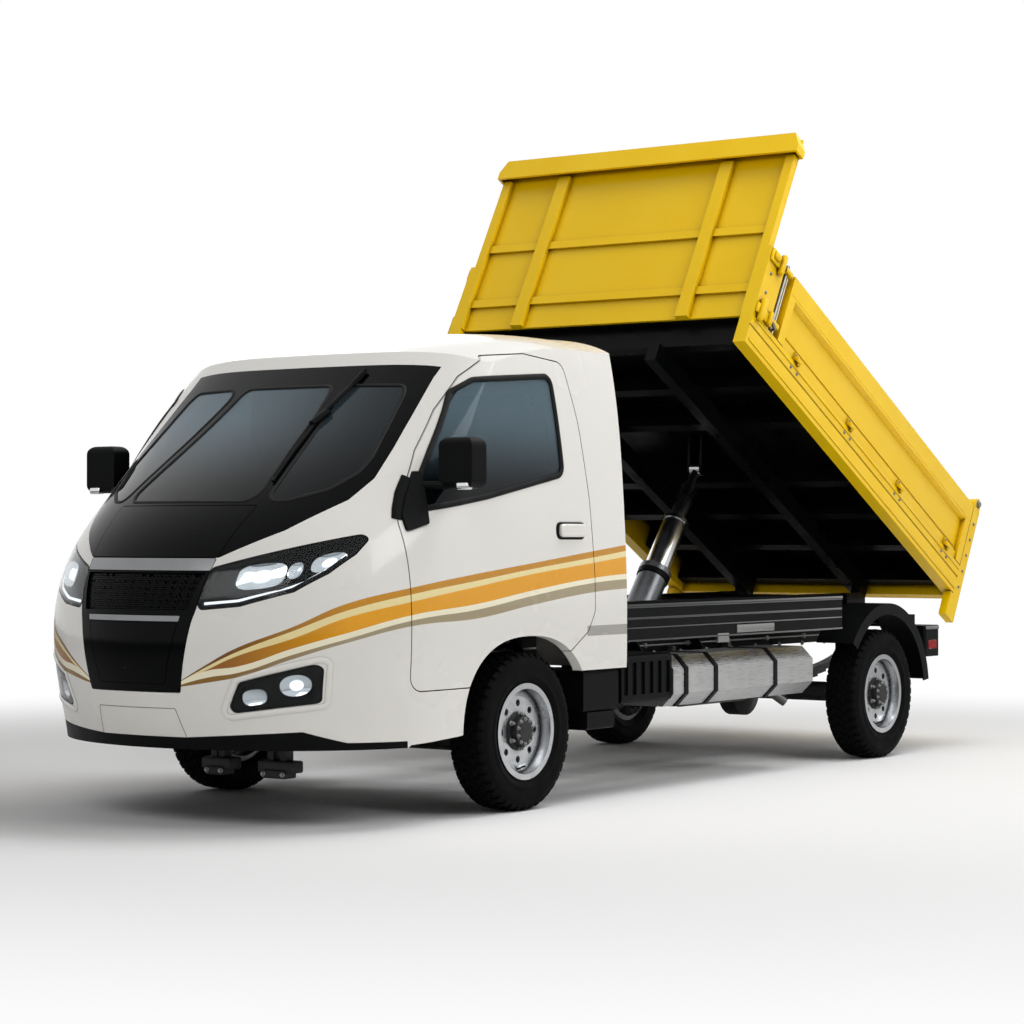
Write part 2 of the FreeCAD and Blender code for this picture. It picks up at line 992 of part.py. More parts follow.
def build_cabin(pieces):
    reach = cab_half_width
    floor = box(-reach, reach, -nose_reach, cab_back, cab_floor_top - cab_floor_thickness,
                cab_floor_top)
    firewall = side_block(firewall_shares, firewall_radius, -reach, reach)
    wells = [step_well(side) for side in (1, -1)]
    pieces["cab_frame"] = join([pieces["cab_frame"], fitted(floor), fitted(firewall)] + wells)
    pieces["dashboard"] = join([dashboard(), steering_wheel()])
    outline = [Vector(0, seat_front + seat_depth * place, cab_floor_top + seat_height * rise)
               for place, rise in seat_shares]
    seats = []
    for x in (driver_x, -driver_x):
        face = rounded_face(outline, seat_radius)
        face.translate(Vector(x - seat_width / 2, 0, 0))
        seats.append(face.extrude(Vector(seat_width, 0, 0)))
    pieces["seats"] = group(seats)


def dashboard():
    whole = side_block(dashboard_shares, dashboard_radius, -cab_half_width, cab_half_width)
    front = side_point(*dashboard_shares[0]).y
    back = side_point(*max(dashboard_shares)).y
    corners = [
        Vector(-dashboard_front_half, front, 0),
        Vector(dashboard_front_half, front, 0),
        Vector(dashboard_back_half, back, 0),
        Vector(-dashboard_back_half, back, 0),
    ]
    plan = Part.Face(Part.makePolygon(corners + corners[:1]))
    return whole.common(plan.extrude(Vector(0, 0, cab_height)))


def step_well(side):
    # The step behind each door: a tread and a wall that hang from the floor
    front = door_seam_y() + panel_gap * 2
    rear = front + step_length
    outer = cab_half_width - wall - door_inner_gap - step_setback
    inner = outer - step_depth
    top = cab_floor_top - cab_floor_thickness
    tread = box(inner, outer, front, rear, step_height, step_height + step_thickness)
    riser = box(inner, inner + step_thickness, front, rear, step_height, top)
    ahead = box(inner, outer, front, front + step_thickness, step_height, top)
    behind = box(inner, outer, rear - step_thickness, rear, step_height, top)
    well = join([tread, riser, ahead, behind])
    return well if side > 0 else mirrored(well)


def steering_wheel():
    centre = Vector(driver_x, steering_wheel_y, steering_wheel_z)
    tilt = math.radians(steering_column_angle)
    axis = Vector(0, -math.cos(tilt), -math.sin(tilt))
    outline = []
    for index in range(steering_rim_sides):
        angle = 2 * math.pi * index / steering_rim_sides
        outline.append((steering_wheel_radius + steering_rim_radius * math.cos(angle),
                        steering_rim_radius * math.sin(angle)))
    ring = turned(outline)
    ring.Placement = FreeCAD.Placement(centre, FreeCAD.Rotation(Vector(1, 0, 0), axis))
    parts = [ring, rod(centre, axis, steering_hub_radius, steering_column_length)]
    for index in range(steering_spoke_count):
        angle = 360 * index / steering_spoke_count
        spoke = rod(centre, Vector(1, 0, 0), steering_spoke_radius, steering_wheel_radius)
        spoke.rotate(centre, axis, angle)
        parts.append(spoke)
    return join(parts)


# Wheels

def turned(outline):
    # A solid of revolution about the axle, from radius and place along it
    points = [Vector(place, 0, radius) for radius, place in outline]
    wire = Part.makePolygon(points + points[:1])
    return Part.Face(wire).revolve(Vector(0, 0, 0), Vector(1, 0, 0), 360)


def tyre():
    outline = [
        (rim_seat_radius, tyre_bead_width / 2),
        (rim_flange_radius, tyre_bead_width / 2),
        (tyre_wall_radius, tyre_width / 2),
        (tyre_radius, tyre_tread_width / 2),
    ]
    other = [(radius, -place) for radius, place in reversed(outline)]
    return turned(outline + other)


def rim():
    seat = tyre_bead_width / 2
    edge = seat + rim_flange_thickness
    barrel = rim_seat_radius - rim_barrel_thickness
    bore = spindle_radius + running_clearance
    outline = [
        (rim_flange_radius, edge),
        (rim_flange_radius, seat),
        (rim_seat_radius, seat),
        (rim_seat_radius, -seat),
        (rim_flange_radius, -seat),
        (barrel, -edge),
        (barrel, rim_disc_inner),
        (bore, rim_disc_inner),
        (bore, rim_bore_reach),
        (0, rim_bore_reach),
        (0, rim_hub_reach),
        (rim_hub_radius, rim_hub_reach),
        (rim_hub_radius, rim_disc_outer),
        (rim_disc_radius, rim_disc_outer),
        (barrel, rim_disc_edge),
        (barrel, edge),
    ]
    shape = turned(outline)
    holes = []
    for index in range(hand_hole_count):
        angle = 2 * math.pi * index / hand_hole_count
        y = hand_hole_circle * math.cos(angle)
        z = hand_hole_circle * math.sin(angle)
        holes.append(across(0, y, z, hand_hole_radius, rim_hub_reach))
    return shape.cut(holes)


def build_wheels(pieces):
    for end, y in (("front", 0), ("rear", wheelbase)):
        for name, side in (("left", 1), ("right", -1)):
            for kind, shape in (("tyre", tyre()), ("rim", rim())):
                if side < 0:
                    shape = mirrored(shape)
                shape.translate(Vector(track_half * side, y, tyre_radius))
                pieces[kind + "_" + end + "_" + name] = shape


# Axles, steering and springs

def spindle(inner, y):
    # Brake, shoulder and spindle of one wheel, from a place across outwards
    face = track_half + rim_disc_inner - shoulder_gap
    tip = track_half + rim_bore_reach - spindle_end_gap
    brake = face - brake_gap - brake_thickness
    return [
        across(inner, y, tyre_radius, shoulder_radius, face - inner),
        across(face, y, tyre_radius, spindle_radius, tip - face),
        across(brake, y, tyre_radius, brake_radius, brake_thickness),
    ]


def kingpin_x():
    return track_half - kingpin_inset


def fork_low():
    return tyre_radius - boss_height / 2 - fork_gap - fork_thickness


def front_axle():
    x = kingpin_x()
    low = tyre_radius - beam_drop - beam_height / 2
    boss_low = tyre_radius - boss_height / 2
    boss_high = tyre_radius + boss_height / 2
    outline = [
        Vector(x, 0, boss_low),
        Vector(x - beam_end_length, 0, boss_low),
        Vector(beam_straight_half + beam_bend_length, 0, low),
    ]
    upper = [
        Vector(x, 0, boss_high),
        Vector(x - beam_end_length, 0, boss_high),
        Vector(beam_straight_half, 0, low + beam_height),
    ]
    below = outline + [Vector(-point.x, 0, point.z) for point in reversed(outline)]
    above = upper + [Vector(-point.x, 0, point.z) for point in reversed(upper)]
    face = rounded_face(below + list(reversed(above)), beam_radius)
    face.translate(Vector(0, -beam_width / 2, 0))
    beam = face.extrude(Vector(0, beam_width, 0))
    pockets = []
    for side in (1, -1):
        near = side * beam_web / 2
        far = side * beam_width
        pockets.append(box(-beam_straight_half, beam_straight_half, min(near, far), max(near, far),
                           low + beam_flange, low + beam_height - beam_flange))
    beam = beam.cut(pockets)
    parts = [beam]
    pin_low = fork_low() - kingpin_over
    pin_length = (tyre_radius - pin_low) * 2
    for place in (x, -x):
        parts.append(rod(Vector(place, 0, boss_low), Vector(0, 0, 1), boss_radius, boss_height))
        parts.append(rod(Vector(place, 0, pin_low), Vector(0, 0, 1), kingpin_radius, pin_length))
    for place in (spring_x(), -spring_x()):
        parts.append(box(place - leaf_width / 2, place + leaf_width / 2, -beam_width / 2,
                         beam_width / 2, low + beam_height - beam_flange,
                         low + beam_height + spring_seat))
    return join(parts)


def knuckle():
    x = kingpin_x()
    low = fork_low()
    high = tyre_radius * 2 - low
    back = x + fork_reach
    half = fork_width / 2
    parts = []
    for z in (low, high - fork_thickness):
        parts.append(rod(Vector(x, 0, z), Vector(0, 0, 1), half, fork_thickness))
        parts.append(box(x, back + fork_thickness, -half, half, z, z + fork_thickness))
    parts.append(box(back, back + fork_thickness, -half, half, low, high))
    parts.append(box(x - steering_arm_radius, x + steering_arm_radius, 0, steering_arm_reach, low,
                     low + steering_arm_thickness))
    parts.append(rod(Vector(x, steering_arm_reach, low), Vector(0, 0, 1), steering_arm_radius,
                     steering_arm_thickness))
    pin_length = tie_rod_gap + tie_rod_eye_height + tie_rod_pin_over
    parts.append(rod(Vector(x, steering_arm_reach, low), Vector(0, 0, -1), tie_rod_pin_radius,
                     pin_length))
    parts.extend(spindle(back + fork_thickness, 0))
    shape = join(parts)
    bore = kingpin_radius + running_clearance
    clear = rod(Vector(x, 0, low - overrun), Vector(0, 0, 1), bore, high - low + overrun * 2)
    middle = box(x - half, back, -half, half, low + fork_thickness, high - fork_thickness)
    return shape.cut(clear).cut(middle)


def tie_rod():
    x = kingpin_x()
    z = fork_low() - tie_rod_gap - tie_rod_eye_height
    bore = tie_rod_pin_radius + running_clearance

    parts = [across(-x, steering_arm_reach, z + tie_rod_eye_height / 2, tie_rod_radius, x * 2)]
    for place in (x, -x):
        parts.append(rod(Vector(place, steering_arm_reach, z), Vector(0, 0, 1), tie_rod_eye_radius,
                         tie_rod_eye_height))
    shape = join(parts)
    holes = [rod(Vector(place, steering_arm_reach, z - overrun), Vector(0, 0, 1), bore, overrun * 2)
             for place in (x, -x)]
    return shape.cut(holes)


def rear_axle():
    z = tyre_radius
    tube = across(-axle_tube_end, wheelbase, z, axle_tube_radius, axle_tube_end * 2)
    outline = [
        (0, -differential_width / 2),
        (differential_radius, -differential_width / 4),
        (differential_radius, differential_width / 4),
        (0, differential_width / 2),
    ]
    bulb = turned(outline)
    bulb.translate(Vector(0, wheelbase, z))
    parts = [tube, bulb]
    parts.append(rod(Vector(0, wheelbase, z), shaft_direction() * -1, pinion_radius, pinion_reach))
    for place in (spring_x(), -spring_x()):
        parts.append(box(place - leaf_width / 2, place + leaf_width / 2,
                         wheelbase - axle_tube_radius, wheelbase + axle_tube_radius, z,
                         z + axle_tube_radius + spring_seat))
    for shape in spindle(axle_tube_end, wheelbase):
        parts.extend([shape, mirrored(shape)])
    return join(parts)


def shaft_direction():
    start = Vector(0, gearbox_back, gearbox_axis)
    end = Vector(0, wheelbase, tyre_radius)
    return (end - start).normalize()


def prop_shaft():
    start = Vector(0, gearbox_back, gearbox_axis)
    end = Vector(0, wheelbase, tyre_radius)
    length = (end - start).Length - pinion_reach
    return rod(start, shaft_direction(), prop_shaft_radius, length)


def spring_x():
    return frame_half_width - frame_rail_width / 2


def arc_strip(radius, thickness, half_angle, centre):
    # A strip of an annulus that hangs below its centre
    def at(reach, angle):
        return centre + Vector(0, reach * math.sin(angle), -reach * math.cos(angle))
    inner = Part.Arc(at(radius, -half_angle), at(radius, 0), at(radius, half_angle))
    outer_radius = radius + thickness
    outer = Part.Arc(at(outer_radius, -half_angle), at(outer_radius, 0), at(outer_radius, half_angle))
    ends = [Part.makeLine(at(radius, side * half_angle), at(outer_radius, side * half_angle))
            for side in (1, -1)]
    edges = [inner.toShape(), outer.toShape()] + ends
    return Part.Face(Part.Wire(Part.__sortEdges__(edges)))


def spring(y, seat, count, bolt_reach, bolt_low):
    # A leaf spring with its clamp and its two hangers
    x = spring_x()
    left = x - leaf_width / 2
    radius = (spring_half_length ** 2 + spring_arch ** 2) / (2 * spring_arch)
    top = seat + count * leaf_thickness
    centre = Vector(left, y, top + radius)
    leaves = []
    for index in range(count):
        half = spring_half_length * (1 - leaf_step_share * index)
        strip = arc_strip(radius + leaf_thickness * index, leaf_thickness, math.asin(half / radius),
                          centre)
        leaves.append(strip.extrude(Vector(leaf_width, 0, 0)))
    parts = [leaves[0]]
    hangers = []
    end = math.asin(spring_half_length / radius)
    reach = radius + leaf_thickness - spring_eye_radius
    bores = []
    for side in (1, -1):
        eye_y = y + reach * math.sin(end) * side
        eye_z = centre.z - reach * math.cos(end)
        parts.append(across(left, eye_y, eye_z, spring_eye_radius, leaf_width))
        bores.append(across(left, eye_y, eye_z, spring_pin_radius + running_clearance, leaf_width))
        hangers.append(hanger(eye_y, eye_z))
    parts = [join(parts).cut(bores)] + leaves[1:]
    clamp = box(x - clamp_width / 2, x + clamp_width / 2, y - bolt_reach - clamp_thickness,
                y + bolt_reach + clamp_thickness, top, top + clamp_thickness)
    bolts = []
    for across_side in (1, -1):
        for along_side in (1, -1):
            bolt_x = x + across_side * (leaf_width / 2 + clamp_bolt_radius)
            bolts.append(rod(Vector(bolt_x, y + along_side * bolt_reach, bolt_low), Vector(0, 0, 1),
                             clamp_bolt_radius, top - bolt_low))
    return parts + [join([clamp] + bolts)], hangers


def hanger(y, z):
    x = spring_x()
    half = hanger_length / 2
    outer = leaf_width / 2 + hanger_gap + hanger_thickness
    parts = [box(x - outer, x + outer, y - half, y + half, frame_bottom - hanger_thickness,
                 frame_bottom)]
    for side in (1, -1):
        near = x + side * (outer - hanger_thickness)
        far = x + side * outer
        low, high = min(near, far), max(near, far)
        parts.append(box(low, high, y - half, y + half, z, frame_bottom))
        parts.append(across(low, y, z, half, hanger_thickness))
    parts.append(across(x - outer, y, z, spring_pin_radius, outer * 2))
    return join(parts)


def build_axles(pieces):
    front_seat = tyre_radius - beam_drop + beam_height / 2 + spring_seat
    rear_seat = tyre_radius + axle_tube_radius + spring_seat
    pieces["front_axle"] = front_axle()
    pieces["knuckle_left"] = knuckle()
    pieces["knuckle_right"] = mirrored(knuckle())
    pieces["tie_rod"] = tie_rod()
    pieces["rear_axle"] = rear_axle()
    pieces["propeller_shaft"] = prop_shaft().cut(engine())
    front, front_hangers = spring(0, front_seat, front_leaf_count,
                                  beam_width / 2 + clamp_bolt_radius, front_seat - beam_height)
    rear, rear_hangers = spring(wheelbase, rear_seat, rear_leaf_count,
                                axle_tube_radius + clamp_bolt_radius, tyre_radius)
    leaves = front + rear
    hangers = front_hangers + rear_hangers
    pieces["leaf_springs"] = group(leaves + [mirrored(shape) for shape in leaves])
    hangers.extend([mirrored(shape) for shape in hangers])
    pieces["frame"] = join([pieces["frame"]] + hangers)


# Frame, engine and what hangs from it

def channel(x_low, x_high, y_low, y_high, z_low, z_high, side):
    # A rail with its web on the outer side and its flanges turned inwards
    whole = box(x_low, x_high, y_low, y_high, z_low, z_high)
    wall_side = frame_rail_wall * side
    room = box(x_low, x_high, y_low, y_high, z_low + frame_rail_wall, z_high - frame_rail_wall)
    room.translate(Vector(-wall_side, 0, 0))
    return whole.cut(room)


def both_rails(width, y_low, y_high, z_low, z_high):
    outer = frame_half_width
    near = channel(outer - width, outer, y_low, y_high, z_low, z_high, 1)
    return [near, mirrored(near)]


def frame_top():
    return frame_bottom + frame_rail_height


def frame_cross(y, z, height):
    # A cross member pressed as a channel, open to the tail
    web = frame_half_width - frame_rail_wall
    low = z - height / 2
    high = z + height / 2
    front = y - frame_cross_width / 2
    back = y + frame_cross_width / 2
    whole = box(-web, web, front, back, low, high)
    room = box(-web + frame_rail_width, web - frame_rail_width, front + frame_rail_wall, back,
               low + frame_rail_wall, high - frame_rail_wall)
    return whole.cut(room)


def frame():
    parts = both_rails(frame_rail_width, -frame_front, frame_rear, frame_bottom, frame_top())
    middle = frame_bottom + frame_rail_height / 2
    for y in frame_cross_places:
        parts.append(frame_cross(y, middle, frame_cross_height))
    for y in cab_mount_places:
        for x in (spring_x(), -spring_x()):
            parts.append(rod(Vector(x, y, frame_top()), Vector(0, 0, 1), cab_mount_radius,
                             cab_floor_top - cab_floor_thickness - frame_top()))
    parts.extend(cylinder_bracket(middle - frame_cross_height / 2))
    parts.append(rear_bar())
    return join(parts)


def cylinder_bracket(top):
    # Two plates below the frame's cross member carry the foot of the cylinder
    parts = []
    inner = cylinder_eye_width / 2 + cylinder_plate_gap
    y = cylinder_base_y
    z = cylinder_base_z
    half = cylinder_eye_radius + collar_step
    cross = min(frame_cross_places, key=lambda place: abs(place - y))
    for side in (1, -1):
        near = side * inner
        far = side * (inner + cylinder_plate_thickness)
        low, high = min(near, far), max(near, far)
        parts.append(across(low, y, z, half, cylinder_plate_thickness))
        outline = [
            Vector(low, cross - frame_cross_width / 2, top),
            Vector(low, cross + frame_cross_width / 2, top),
            Vector(low, y + half, z),
            Vector(low, y, z - half),
        ]
        plate = Part.Face(Part.makePolygon(outline + outline[:1]))
        parts.append(plate.extrude(Vector(cylinder_plate_thickness, 0, 0)))
    parts.append(across(-inner - cylinder_plate_thickness, y, z, cylinder_pin_radius,
                        (inner + cylinder_plate_thickness) * 2))
    return parts


def subframe():
    low = frame_top()
    high = low + subframe_rail_height
    parts = both_rails(frame_rail_width, subframe_front, frame_rear, low, high)
    for y in subframe_cross_places:
        parts.append(frame_cross(y, (low + high) / 2, frame_cross_height))
    outer = frame_half_width
    for side in (1, -1):
        near = side * outer
        far = side * (outer + hinge_plate_thickness)
        x_low, x_high = min(near, far), max(near, far)
        parts.append(box(x_low, x_high, hinge_y - hinge_plate_length, hinge_y,
                         hinge_z() - hinge_plate_radius, hinge_z() + hinge_plate_radius))
        parts.append(across(x_low, hinge_y, hinge_z(), hinge_plate_radius, hinge_plate_thickness))
    end = outer + hinge_plate_thickness
    parts.append(across(-end, hinge_y, hinge_z(), hinge_shaft_radius, end * 2))
    return join(parts)


def hinge_z():
    return frame_top() + subframe_rail_height - hinge_drop


def engine():
    block = box(-engine_half_width, engine_half_width, -engine_front, engine_back, engine_bottom,
                engine_top)
    upright = [edge for edge in block.Edges if edge.BoundBox.YLength > engine_back]
    block = block.makeChamfer(engine_radius, upright)
    length = gearbox_back - engine_back
    gearbox = Part.makeCone(gearbox_radius, gearbox_end_radius, length,
                            Vector(0, engine_back, gearbox_axis), Vector(0, 1, 0))
    low = engine_bottom + engine_mount_rise
    reach = frame_half_width - frame_rail_wall
    middle = (engine_back - engine_front) / 2
    mounts = box(-reach, reach, middle - engine_mount_length / 2, middle + engine_mount_length / 2,
                 low, low + engine_mount_height)
    return join([block, gearbox, mounts])


def tube(points, radius, bend):
    # A round pipe along straight runs joined by arcs
    edges = []
    start = points[0]
    for index in range(1, len(points) - 1):
        corner = points[index]
        back = points[index - 1] - corner
        ahead = points[index + 1] - corner
        half_angle = back.getAngle(ahead) / 2
        reach = bend / math.tan(half_angle)
        back.normalize()
        ahead.normalize()
        middle = back + ahead
        middle.normalize()
        bulge = bend / math.sin(half_angle) - bend
        first = corner + back * reach
        last = corner + ahead * reach
        edges.append(Part.makeLine(start, first))
        edges.append(Part.Arc(first, corner + middle * bulge, last).toShape())
        start = last
    edges.append(Part.makeLine(start, points[-1]))
    direction = points[1] - points[0]
    ring = Part.Wire(Part.makeCircle(radius, points[0], direction))
    return Part.Wire(edges).makePipeShell([ring], True, False)


def exhaust():
    muffler = rod(Vector(muffler_x, muffler_front, muffler_z), Vector(0, 1, 0), muffler_radius,
                  muffler_back - muffler_front)
    intake = tube([
        Vector(exhaust_start_x, engine_back, engine_bottom + exhaust_radius * 2),
        Vector(exhaust_start_x, exhaust_turn_y - exhaust_bend * 2, muffler_z),
        Vector(muffler_x, exhaust_turn_y, muffler_z),
        Vector(muffler_x, muffler_front, muffler_z),
    ], exhaust_radius, exhaust_bend)
    outlet = tube([
        Vector(muffler_x, muffler_back, muffler_z),
        Vector(muffler_x, exhaust_end, muffler_z),
        Vector(muffler_x + exhaust_bend, exhaust_end + exhaust_bend, muffler_z - exhaust_bend),
    ], exhaust_radius, exhaust_bend)
    parts = [muffler, intake, outlet]
    for y in (muffler_front + exhaust_hanger_length, muffler_back - exhaust_hanger_length):
        parts.append(box(frame_half_width, muffler_x - muffler_radius + exhaust_radius,
                         y - exhaust_hanger_length / 2, y + exhaust_hanger_length / 2, muffler_z,
                         frame_bottom + exhaust_hanger_length))
    return join(parts).cut(engine())


def gusset(y, low):
    # A bracket from the frame's rail out to a tank or a box
    outline = [
        (frame_half_width, frame_top() - frame_rail_wall),
        (frame_half_width, frame_bottom),
        (tank_inner, low),
        (tank_inner, low + tank_chamfer),
    ]
    corners = [Vector(x, y - bracket_thickness / 2, z) for x, z in outline]
    face = Part.Face(Part.makePolygon(corners + corners[:1]))
    return face.extrude(Vector(0, bracket_thickness, 0))


def octagon(grow, y_low, y_high):
    cut = tank_chamfer
    low, high = tank_bottom - grow, tank_top + grow
    near, far = tank_inner, tank_outer + grow
    outline = [(near, low + cut), (near + cut, low), (far - cut, low), (far, low + cut),
               (far, high - cut), (far - cut, high), (near + cut, high), (near, high - cut)]
    corners = [Vector(x, y_low, z) for x, z in outline]
    face = Part.Face(Part.makePolygon(corners + corners[:1]))
    return face.extrude(Vector(0, y_high - y_low, 0))


def build_side_gear(pieces):
    tank = octagon(0, tank_front, tank_back)
    straps = []
    brackets = []
    for y in tank_strap_places:
        front = y - tank_strap_width / 2
        strap = octagon(tank_strap_thickness, front, front + tank_strap_width)
        straps.append(strap.cut(tank))
        brackets.append(gusset(y, tank_bottom + tank_chamfer))
    pieces["side_tank"] = tank
    battery = box(tank_inner, side_box_outer, battery_front, battery_back, battery_bottom,
                  battery_top)
    battery = battery.makeFillet(side_box_radius, long_edges(battery))
    pitch = (battery_back - battery_front) / battery_rib_count
    slots = []
    for index in range(battery_rib_count):
        y = battery_front + pitch * (index + 1 / 2)
        slots.append(box(side_box_outer - battery_rib_depth, side_box_outer, y - pitch / 4,
                         y + pitch / 4, battery_bottom + side_box_radius * 2,
                         battery_top - side_box_radius * 2))
    locker = box(tank_inner, side_box_outer, locker_front, locker_back, locker_bottom, locker_top)
    locker = locker.makeFillet(side_box_radius, long_edges(locker))
    step = box(tank_inner + side_box_radius, side_box_outer, step_front, step_back, step_bottom,
               locker_bottom)
    step = step.makeFillet(side_box_radius, [edge for edge in long_edges(step)
                                             if edge.BoundBox.ZMax < locker_bottom])
    middle = (battery_front + battery_back) / 2
    brackets.append(gusset(middle, battery_bottom + tank_chamfer))
    brackets.append(gusset((locker_front + locker_back) / 2, locker_bottom + tank_chamfer))
    pieces["side_boxes"] = group([battery.cut(slots), locker, step])
    pieces["side_brackets"] = group(brackets + straps)

    pieces["side_skirts"] = join([skirts(), intake_pipe()])
    pieces["mudguards"] = group([mudguard(), mirrored(mudguard())])
    lamps = rear_lamp()
    pieces["tail_lamps"] = group([lamps[0], mirrored(lamps[0])])
    pieces["tail_lenses"] = group([lamps[1], mirrored(lamps[1])])


def long_edges(shape):
    length = shape.BoundBox.YLength
    return [edge for edge in shape.Edges
            if edge.BoundBox.YLength > length - overrun and edge.BoundBox.XMax > tank_inner * 1.2]


def skirts():
    near = box(skirt_inner, skirt_outer, skirt_front, skirt_back, skirt_bottom, skirt_top)
    room = box(skirt_inner - overrun, skirt_outer - skirt_wall, skirt_front, skirt_back,
               skirt_bottom + skirt_wall, skirt_top - skirt_wall)
    near = near.cut(room)
    parts = [near]
    z = (skirt_bottom + frame_top()) / 2
    for y in skirt_arm_places:
        parts.append(across(frame_half_width, y, z, skirt_arm_radius,
                            skirt_outer - skirt_wall - frame_half_width))
    near = join(parts)
    return group([near, mirrored(near)])


def intake_pipe():
    foot = (skirt_bottom + frame_top()) / 2 + skirt_arm_radius
    pipe = rod(Vector(intake_x, intake_y, foot), Vector(0, 0, 1), intake_radius, intake_top - foot)
    rim_edges = [edge for edge in pipe.Edges if edge.BoundBox.ZMin > intake_top - 1]
    return pipe.makeFillet(intake_radius / 2, rim_edges)


def mudguard():
    outer = guard_radius
    inner = guard_radius - guard_wall
    low = guard_radius - guard_flange
    outline = [
        (guard_inner, outer),
        (guard_outer, outer),
        (guard_outer, low),
        (guard_outer - guard_wall, low),
        (guard_outer - guard_wall, inner),
        (guard_inner, inner),
    ]
    start = math.radians(guard_front_angle)
    corners = [Vector(x, -reach * math.cos(start), reach * math.sin(start)) for x, reach in outline]
    face = Part.Face(Part.makePolygon(corners + corners[:1]))
    sweep = guard_rear_angle - guard_front_angle
    shell = face.revolve(Vector(0, 0, 0), Vector(-1, 0, 0), sweep)
    parts = [shell]
    reach = (outer + inner) / 2
    for angle in guard_arm_angles:
        turn = math.radians(angle)
        parts.append(across(frame_half_width, -reach * math.cos(turn), reach * math.sin(turn),
                            guard_arm_radius, guard_inner - frame_half_width))
    shape = join(parts)
    shape.translate(Vector(0, wheelbase, tyre_radius))
    return shape


def rear_lamp():
    whole = box(lamp_box_inner, lamp_box_outer, lamp_box_front, lamp_box_back, lamp_box_bottom,
                lamp_box_top)
    upright = [edge for edge in whole.Edges if edge.BoundBox.ZLength > tail_lens_depth]
    whole = whole.makeFillet(side_box_radius, upright)
    middle = (lamp_box_bottom + lamp_box_top) / 2
    margin = side_box_radius
    lens = box(lamp_box_inner + margin, lamp_box_outer - margin, lamp_box_back - tail_lens_depth,
               lamp_box_back, lamp_box_bottom + margin, middle + margin)
    return whole.cut(lens), lens


def rear_bar():
    low = frame_top() - rear_bar_height - frame_rail_wall / 2
    return box(-lamp_box_inner, lamp_box_inner, frame_rear, frame_rear + rear_bar_depth, low,
               low + rear_bar_height)


def build_chassis(pieces):
    pieces["frame"] = frame()
    pieces["subframe"] = subframe()
    pieces["engine"] = engine()
    pieces["exhaust"] = exhaust()
    build_side_gear(pieces)


# Bed, made lying down and then tipped about its hinge

def bed_box(x_low, x_high, reach_low, reach_high, rise_low, rise_high):
    return box(x_low, x_high, hinge_y - reach_high, hinge_y - reach_low, hinge_z() + rise_low,
               hinge_z() + rise_high)


def bed_prism(outline, x_low, x_high):
    # Reach forward and rise of each corner, made as wide as asked
    corners = [Vector(x_low, hinge_y - reach, hinge_z() + rise) for reach, rise in outline]
    face = Part.Face(Part.makePolygon(corners + corners[:1]))
    return face.extrude(Vector(x_high - x_low, 0, 0))


def bed_length_prism(outline, reach_low, reach_high):
    # Place across and rise of each corner, made as long as asked
    corners = [Vector(x, hinge_y - reach_high, hinge_z() + rise) for x, rise in outline]
    face = Part.Face(Part.makePolygon(corners + corners[:1]))
    return face.extrude(Vector(0, reach_high - reach_low, 0))


def bed_rod(x, reach, rise, radius, length):
    return across(x, hinge_y - reach, hinge_z() + rise, radius, length)


def raised(shape):
    turned_shape = shape.copy()
    turned_shape.rotate(Vector(0, hinge_y, hinge_z()), Vector(1, 0, 0), -bed_tilt)
    return turned_shape


def sill_low():
    return hinge_drop + bed_gap


def sill_high():
    return sill_low() + bed_sill_height


def floor_low():
    return sill_high() + bed_cross_height


def floor_high():
    return floor_low() + bed_floor_thickness


def bed_front():
    return bed_length - headboard_depth


def cylinder_eye_rise():
    return floor_low() - cylinder_eye_drop


def bed_floor():
    outer = bed_half_width - bed_rail_width
    sill_outer = frame_half_width
    sill_inner = sill_outer - frame_rail_width
    parts = [bed_box(-outer, outer, -bed_floor_tail, bed_front(), floor_low(), floor_high())]
    for share in bed_cross_shares:
        reach = bed_length * share
        parts.append(bed_box(-outer, outer, reach - bed_cross_width / 2,
                             reach + bed_cross_width / 2, sill_high(), floor_low()))
    ear_high = sill_outer - ear_gap
    ear_low = ear_high - ear_thickness
    pins = []
    for side in (1, -1):
        low, high = sorted((side * sill_inner, side * sill_outer))
        parts.append(bed_box(low, high, -bed_sill_tail, bed_front(), sill_low(), sill_high()))
        low, high = sorted((side * ear_low, side * ear_high))
        parts.append(bed_rod(low, 0, 0, hinge_plate_radius, ear_thickness))
        parts.append(bed_box(low, high, -hinge_plate_radius, hinge_plate_radius, 0, sill_low()))
        pins.append(bed_rod(low - overrun, 0, 0, hinge_shaft_radius + running_clearance,
                            ear_thickness + overrun * 2))
        parts.append(cylinder_ear(side))
    return join(parts).cut(pins)


def cylinder_ear(side):
    near = side * (cylinder_eye_width / 2 + loose_gap)
    far = near + side * cylinder_plate_thickness
    low, high = min(near, far), max(near, far)
    half = cylinder_eye_radius
    rise = cylinder_eye_rise()
    outline = [
        (cylinder_eye_reach - half * 3, floor_low()),
        (cylinder_eye_reach - half, rise),
        (cylinder_eye_reach + half, rise),
        (cylinder_eye_reach + half * 3, floor_low()),
    ]
    plate = bed_prism(outline, low, high)
    eye = bed_rod(low, cylinder_eye_reach, rise, half, cylinder_plate_thickness)
    head_low = high if side > 0 else low - cylinder_pin_head
    head = bed_rod(head_low, cylinder_eye_reach, rise, cylinder_pin_radius, cylinder_pin_head)
    return join([plate, eye, head])


